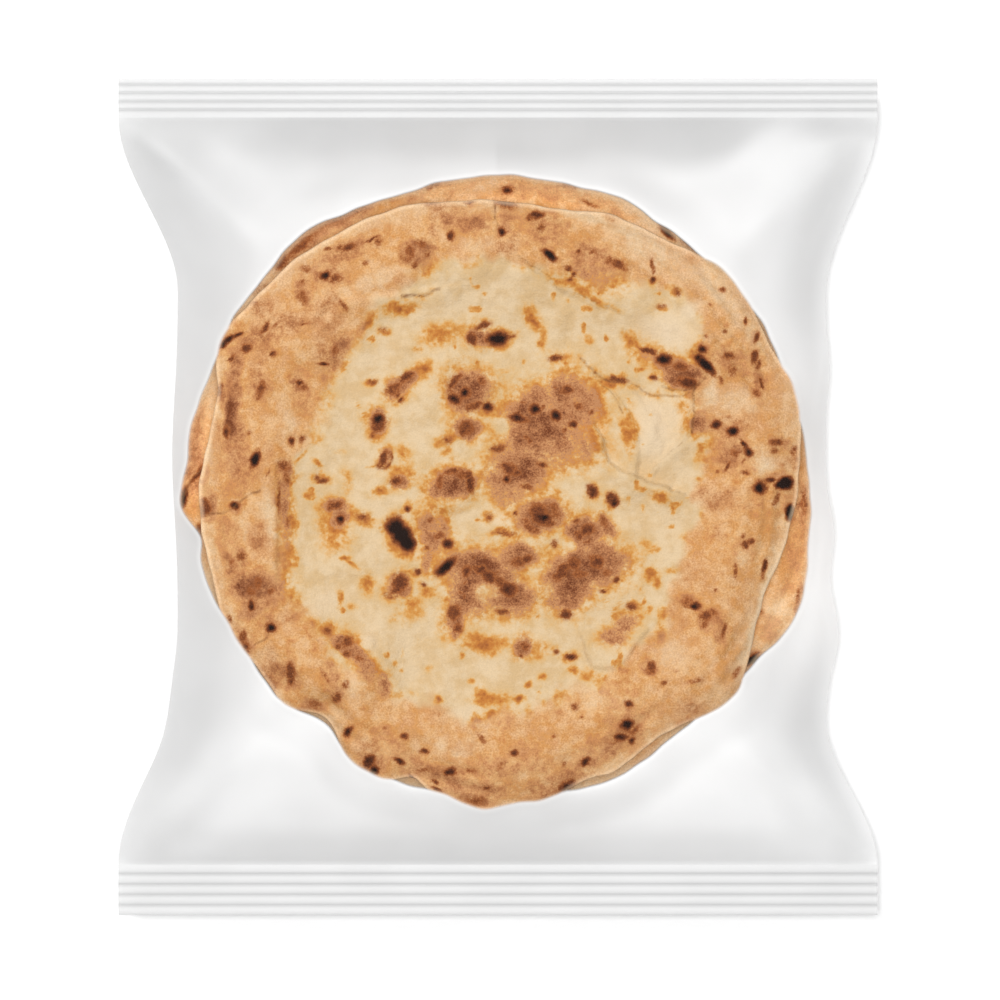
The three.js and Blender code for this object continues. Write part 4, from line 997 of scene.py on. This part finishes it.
def ramp_output(tree, value, settings, stops):
    """A colour for each value, that runs straight from one stop to the next. A stop is a value and the name of the
    setting that holds its colour."""
    ramp = add_node(tree, "ShaderNodeValToRGB", {"Fac": value})
    while len(ramp.color_ramp.elements) < len(stops):
        ramp.color_ramp.elements.new(1.0)
    for element, (at, shade) in zip(ramp.color_ramp.elements, stops):
        element.position, element.color = at, (*getattr(settings, shade), 1.0)
    return ramp.outputs["Color"]


def broken_output(tree, field, *grains):
    """A field that noise breaks up wherever it is well above 0. Each grain is a noise and how much it adds."""
    ruffle = -0.5 * sum(height for _, height in grains)
    for grain, height in grains:
        ruffle = math_output(tree, "MULTIPLY_ADD", grain, height, ruffle)
    return math_output(tree, "MULTIPLY_ADD", ruffle, stretch_output(tree, field, 0.0, 0.45), field)


def new_material(name):
    """A material with no nodes in it yet."""
    material = bpy.data.materials.new(name)
    material.use_nodes = True
    material.node_tree.nodes.clear()
    return material


def finish_material(tree, inputs):
    """Ends a material in one shader with the inputs given."""
    shader = add_node(tree, "ShaderNodeBsdfPrincipled", inputs)
    add_node(tree, "ShaderNodeOutputMaterial", {"Surface": shader.outputs["BSDF"]})


def baked_crust(name, settings, lightness):
    """Pale dough that turns to tan on the rim, with flour and, on the rolled edge, painted highlights in the flour
    colour.
    Over it lie an amber glow, then toasted patches and burns, and creases darkened as browning and painted shade. Each
    shows as its field grows, and noise of three sizes breaks up its outline. The lightness, and more of it on the
    side, is painted light. The grain stands up as bump."""
    material = new_material(name)
    tree = material.node_tree
    amber, toast, burn, rim, pale = (field_output(tree, name) for name in ("amber", "toast", "burn", "rim", "pale"))
    broad, middling = noise_output(tree, BROAD_GRAIN, 3.0), noise_output(tree, MIDDLING_GRAIN, 2.0)
    small, fine = noise_output(tree, SMALL_GRAIN, 2.0), noise_output(tree, settings.grain_size / MM, 3.0, 0.65)

    mottle = math_output(tree, "MULTIPLY_ADD", middling, 0.7, broad)
    colour = colour_output(tree, stretch_output(tree, mottle, 0.65, 1.05), settings.cream, settings.shaded_cream)
    mottle = math_output(tree, "MULTIPLY_ADD", fine, 0.7, mottle)
    tan = colour_output(tree, stretch_output(tree, mottle, 0.98, 1.38), settings.tan, settings.deep_tan)
    colour = colour_output(tree, rim, colour, tan)
    flour_and_highlight = math_output(tree, "MULTIPLY", pale, stretch_output(tree, middling, 0.3, 0.6, 0.65, 1.0))
    colour = colour_output(tree, flour_and_highlight, colour, settings.flour_and_highlight)

    glow = broken_output(tree, amber, (middling, 0.9), (small, 0.7))
    shade = ramp_output(tree, glow, settings, GLOW_SHADES)
    share = stretch_output(tree, glow, 0.02, 0.54)
    share = math_output(tree, "MULTIPLY", share, stretch_output(tree, rim, 0.0, 1.0, 1.0, 0.5))
    colour = colour_output(tree, share, colour, shade)

    brown = broken_output(tree, toast, (middling, 0.8), (small, 0.5))
    grain = math_output(tree, "MULTIPLY_ADD", fine, 1.0, -0.5)
    grain = math_output(tree, "MULTIPLY", grain, stretch_output(tree, toast, 0.0, 0.45))
    brown = math_output(tree, "MULTIPLY_ADD", grain, stretch_output(tree, rim, 0.0, 1.0, 1.0, 0.45), brown)
    shade = ramp_output(tree, brown, settings, TOAST_SHADES)
    full = stretch_output(tree, rim, 0.0, 1.0, 0.55, 0.90)
    colour = colour_output(tree, stretch_output(tree, brown, 0.08, full), colour, shade)

    black = broken_output(tree, burn, (small, 0.45), (fine, 0.45))
    shade = ramp_output(tree, math_output(tree, "MULTIPLY", black, 0.8), settings, BURN_SHADES)
    colour = colour_output(tree, stretch_output(tree, black, 0.03, 0.45), colour, shade)

    # Creases: browning and painted shade.
    line = stretch_output(tree, field_output(tree, "crease"), 0.35, 0.95)
    line = math_output(tree, "MULTIPLY", line, stretch_output(tree, middling, 0.35, 0.6, 0.35, 0.9))
    colour = colour_output(tree, line, colour, settings.crease)
    # The side is painted paler and lighter: painted light on the roll.
    edge = field_output(tree, "edge")
    colour = colour_output(tree, math_output(tree, "MULTIPLY", edge, 0.35), colour, settings.flour_and_highlight)
    baked = math_output(tree, "MAXIMUM", toast, 0.3)
    baked = math_output(tree, "MAXIMUM", math_output(tree, "MULTIPLY", rim, 0.6), baked)
    depth = math_output(tree, "MULTIPLY", baked, settings.tooth)
    tooth = math_output(tree, "MULTIPLY_ADD", stretch_output(tree, fine, 0.25, 0.75, 1.0, -1.0), depth, 1.0)
    # Painted light: the lower base is made lighter all over, and each side more again.
    lightness = stretch_output(tree, edge, 0.0, 1.0, lightness, lightness * settings.crust_edge_painted_light)
    tooth = math_output(tree, "MULTIPLY", tooth, lightness)
    colour = add_node(tree, "ShaderNodeHueSaturation", {"Value": tooth, "Color": colour}).outputs["Color"]

    rise = math_output(tree, "MULTIPLY_ADD", middling, 1.6, fine)
    rise = math_output(tree, "MULTIPLY_ADD", small, 0.8, rise)
    bump = add_node(tree, "ShaderNodeBump", {"Height": rise, "Strength": 0.7, "Distance": settings.grain_depth})
    roughness = stretch_output(tree, black, 0.2, 0.9, 0.84, 0.6)
    finish_material(tree, {
        "Base Color": colour, "Roughness": roughness, "Normal": bump.outputs["Normal"], "Specular IOR Level": 0.03,
    })
    return material


def clear_film(settings):
    """Clear plastic film. It can't be seen where it clings to the bread, and beside it the film is milky. Its colour
    runs from white to grey by its painted shade, greyer where it turns down to the seams and painted lighter over the
    bread."""
    material = new_material("clear_film")
    tree = material.node_tree
    beside = field_output(tree, "beside_bread")
    streaks = stretch_output(tree, noise_output(tree, STREAK_GRAIN, 1.0), 0.3, 0.7, -0.03, 0.03)
    haze = math_output(tree, "ADD", streaks, settings.haze_opacity)
    share = stretch_output(tree, beside, MILKY_START, settings.clear_margin / MM)
    alpha = add_node(tree, "ShaderNodeMix", {0: share, 2: settings.clear_opacity, 3: haze}).outputs[0]
    # Painted light over the bread.
    film_edge_painted_light = stretch_output(tree, beside, PALE_START, PALE_END, -FILM_EDGE_PAINTED_LIGHT, 0.0)
    painted_shade = math_output(tree, "ADD", field_output(tree, "painted_shade"), film_edge_painted_light)
    colour = colour_output(tree, painted_shade, settings.white, settings.grey)
    finish_material(tree, {"Base Color": colour, "Roughness": settings.roughness, "IOR": 1.45, "Alpha": alpha})
    return material


def pale_floor(settings):
    """Matt white board with a barely visible tooth."""
    material = new_material("pale_floor")
    tree = material.node_tree
    tooth = noise_output(tree, SMALL_GRAIN, 2.0)
    bump = add_node(tree, "ShaderNodeBump", {"Height": tooth, "Strength": 0.03, "Distance": 0.2 * MM})
    finish_material(tree, {
        "Base Color": (*settings.floor_colour, 1.0), "Roughness": 0.9, "Normal": bump.outputs["Normal"],
    })
    return material


# ---- Settings ----

def colour_setting(name, description, *colour):
    """A setting that holds a colour, from one of 0 to 255."""
    return FloatVectorProperty(name=name, description=description, subtype="COLOR", default=linear(colour))


def length_setting(name, description, size):
    """A setting that holds a length, from millimetres."""
    return FloatProperty(name=name, description=description, unit="LENGTH", default=size * MM)


class CrustSettings(bpy.types.PropertyGroup):
    """Sizes and colours of the bread."""

    cells: IntProperty(name="Cells", description="Cells across the top of the upper base", default=292, min=40)
    lower_cells: IntProperty(name="Lower cells", description="The same of the lower base", default=220, min=40)
    rings: IntProperty(name="Rings", description="Rings of cells under each base", default=7, min=3)
    grain_size: length_setting("Grain", "Size of the crust's grain", 0.8)
    grain_depth: length_setting("Grain depth", "How far the grain stands up", 0.4)
    tooth: FloatProperty(name="Tooth", description="How much the grain lightens and darkens the crust", default=0.19)
    # Painted light on the side of each base.
    crust_edge_painted_light: FloatProperty(
        name="Edge lightness", description="How much paler the side of a base is than its top", default=1.18)
    # Painted light that lifts the lower base out of the shade of the upper one.
    lower_painted_light: FloatProperty(
        name="Lower lightness", description="How much paler the lower base is than the upper one", default=1.28)
    cream: colour_setting("Cream", "Pale dough", 234, 206, 166)
    shaded_cream: colour_setting("Shaded cream", "Deeper dough between", 223, 189, 141)
    tan: colour_setting("Tan", "Rim", 235, 188, 140)
    deep_tan: colour_setting("Deep tan", "Deeper places of the rim", 212, 150, 99)
    # Also the colour of painted highlights on the rolled edge and side.
    flour_and_highlight: colour_setting("Flour", "Floury places", 243, 218, 184)
    light_amber: colour_setting("Light amber", "First glow on the dough", 235, 193, 128)
    amber: colour_setting("Amber", "Light browning", 226, 165, 86)
    orange: colour_setting("Orange", "Edge of a toasted patch", 204, 130, 62)
    rust: colour_setting("Rust", "Halo of a burn", 168, 98, 52)
    light_toast: colour_setting("Light toast", "Palest of a toasted patch", 212, 156, 110)
    toast: colour_setting("Toast", "Toasted patch", 188, 126, 82)
    dark_toast: colour_setting("Dark toast", "Speckle of a toasted patch", 152, 94, 60)
    brown: colour_setting("Brown", "Brown spots", 124, 68, 39)
    dark_brown: colour_setting("Dark brown", "Dark spots", 88, 46, 27)
    char: colour_setting("Char", "Burnt spots", 38, 24, 19)
    # The colour of a crease, as browning and painted shade.
    crease: colour_setting("Crease", "Creases", 140, 90, 54)


class FilmSettings(bpy.types.PropertyGroup):
    """Sizes and looks of the bag's film."""

    columns: IntProperty(name="Columns", description="Cells from side to side", default=150, min=20)
    rows: IntProperty(name="Rows", description="Cells from seal to seal", default=180, min=20)
    crimp_steps: IntProperty(name="Crimp steps", description="Straight stretches in one crimp", default=8, min=4)
    edge_thickness: length_setting("Edge", "Thickness of the two films at the edge", 0.3)
    film_gap: length_setting("Gap", "From the bread to the film that lies on it", 0.7)
    crimp_depth: length_setting("Crimp depth", "From the crest of a crimp to its groove", 0.35)
    clear_margin: length_setting("Clear margin", "How far beyond the bread's edge the film is wholly milky", -0.2)
    clear_opacity: FloatProperty(
        name="Clear opacity", description="Where the film lies on the bread", default=0.004, subtype="FACTOR")
    haze_opacity: FloatProperty(
        name="Haze opacity", description="Where the film stands away", default=0.72, subtype="FACTOR")
    roughness: FloatProperty(name="Roughness", description="Of the film", default=0.36, subtype="FACTOR")
    # The film is coloured between these two by its painted shade: white for film painted as lit, grey for film painted
    # as shaded.
    white: FloatVectorProperty(
        name="White", description="Film that lies level", subtype="COLOR", default=(0.92, 0.92, 0.92))
    grey: FloatVectorProperty(
        name="Grey", description="Film that turns down to the seams", subtype="COLOR", default=(0.55, 0.55, 0.55))


class StageSettings(bpy.types.PropertyGroup):
    """The camera, the floor and the light."""

    field_width: length_setting("Field", "Width that the camera takes in", PHOTO_SIZE * PIXEL)
    lens: FloatProperty(name="Lens", description="Focal length", default=180.0, subtype="DISTANCE_CAMERA")
    floor_colour: FloatVectorProperty(
        name="Floor", description="Colour of the floor", subtype="COLOR", default=(0.95, 0.95, 0.95))
    sky: FloatProperty(name="Sky", description="Light from all round", default=0.33)
    overhead: FloatProperty(name="Overhead", description="Power of the overhead light", default=88.5, unit="POWER")
    key: FloatProperty(name="Key", description="Power of the key light", default=37.0, unit="POWER")


# ---- Operators ----

def ride_in_bag(piece):
    """The piece is part of the pack and stands for its solid, which is hidden."""
    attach(piece, "root")
    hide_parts(BAG_NODE)


class PACK_OT_bases(bpy.types.Operator):
    """Makes the two bases, stacked"""

    bl_idname = "pizza_pack.bases"
    bl_label = "Pizza bases"

    def execute(self, context):
        settings = context.scene.pizza_pack_crust
        for name, base, cells, lightness in (
            ("lower_base", LOWER_BASE, settings.lower_cells, settings.lower_painted_light),
            ("upper_base", UPPER_BASE, settings.cells, 1.0),
        ):
            piece = make_base(name, base, cells, settings.rings)
            piece.data.materials.append(baked_crust(f"{name}_crust", settings, lightness))
            ride_in_bag(piece)
        return {"FINISHED"}


class PACK_OT_film(bpy.types.Operator):
    """Makes the sealed bag of clear film over the bases"""

    bl_idname = "pizza_pack.film"
    bl_label = "Clear film"

    def execute(self, context):
        settings = context.scene.pizza_pack_film
        piece = make_film(settings)
        piece.data.materials.append(clear_film(settings))
        ride_in_bag(piece)
        return {"FINISHED"}


FLOOR_HALF = 4000.0
FLOOR_DROP = 0.3  # below the surface that the bag lies on
# Places and sizes of the lights, in metres.
OVERHEAD_PLACE = (0.0, 0.0, 3.4)
OVERHEAD_SIZE = 1.6
KEY_PLACE = (-1.5, 1.8, 2.2)
KEY_SIZE = 1.0
SENSOR_WIDTH = 36.0
PACK_MIDDLE = 0.017  # half the height of the pack, in metres


def add_light(name, place_at, size, power):
    """A square area light that faces the origin."""
    light = bpy.data.lights.new(name, "AREA")
    light.shape, light.size, light.energy = "SQUARE", size, power
    made = bpy.data.objects.new(name, light)
    made.location = place_at
    made.rotation_euler = (Vector() - place_at).to_track_quat("-Z", "Y").to_euler()
    made.visible_camera = False
    bpy.context.scene.collection.objects.link(made)


class PACK_OT_stage(bpy.types.Operator):
    """Makes the floor, the lights and the camera"""

    bl_idname = "pizza_pack.stage"
    bl_label = "Stage"

    def execute(self, context):
        settings = context.scene.pizza_pack_stage
        scene = context.scene
        signs = np.array([(-1, -1), (1, -1), (1, 1), (-1, 1)])
        points = np.concatenate([FLOOR_HALF * signs, np.full((4, 1), -FLOOR_DROP)], axis=1)
        floor = make_object("floor", points, [np.array([[0, 1, 2, 3]])], {})
        floor.data.materials.append(pale_floor(settings))

        world = bpy.data.worlds.new("soft_sky")
        world.use_nodes = True
        background = world.node_tree.nodes["Background"]
        background.inputs["Color"].default_value = (1.0, 1.0, 1.0, 1.0)
        background.inputs["Strength"].default_value = settings.sky
        scene.world = world
        add_light("overhead", Vector(OVERHEAD_PLACE), OVERHEAD_SIZE, settings.overhead)
        add_light("key", Vector(KEY_PLACE), KEY_SIZE, settings.key)

        camera = bpy.data.cameras.new("camera")
        camera.lens = settings.lens
        camera.sensor_width = SENSOR_WIDTH
        distance = settings.field_width * camera.lens / camera.sensor_width
        made = bpy.data.objects.new("camera", camera)
        centre_x, centre_y = place(PHOTO_SIZE / 2, PHOTO_SIZE / 2)
        made.location = (centre_x * MM, centre_y * MM, distance + PACK_MIDDLE)
        scene.collection.objects.link(made)
        scene.camera = made
        scene.view_settings.view_transform = "Standard"
        return {"FINISHED"}


class PACK_PT_panel(bpy.types.Panel):
    """Lists the pieces of the pack"""

    bl_idname = "PACK_PT_panel"
    bl_label = "Pizza Base Pack"
    bl_space_type = "VIEW_3D"
    bl_region_type = "UI"
    bl_category = "Pizza Pack"

    def draw(self, context):
        for group, operator in (
            (context.scene.pizza_pack_crust, PACK_OT_bases),
            (context.scene.pizza_pack_film, PACK_OT_film),
            (context.scene.pizza_pack_stage, PACK_OT_stage),
        ):
            column = self.layout.column()
            column.operator(operator.bl_idname)
            for name in group.bl_rna.properties.keys():
                if name not in ("rna_type", "name"):
                    column.prop(group, name)


CLASSES = (CrustSettings, FilmSettings, StageSettings, PACK_OT_bases, PACK_OT_film, PACK_OT_stage, PACK_PT_panel)


def register():
    for made in CLASSES:
        bpy.utils.register_class(made)
    bpy.types.Scene.pizza_pack_crust = PointerProperty(type=CrustSettings)
    bpy.types.Scene.pizza_pack_film = PointerProperty(type=FilmSettings)
    bpy.types.Scene.pizza_pack_stage = PointerProperty(type=StageSettings)


def unregister():
    del bpy.types.Scene.pizza_pack_stage
    del bpy.types.Scene.pizza_pack_film
    del bpy.types.Scene.pizza_pack_crust
    for made in reversed(CLASSES):
        bpy.utils.unregister_class(made)


def main():
    register()
    bpy.ops.pizza_pack.bases()
    bpy.ops.pizza_pack.film()
    bpy.ops.pizza_pack.stage()


if __name__ == "__main__":
    main()
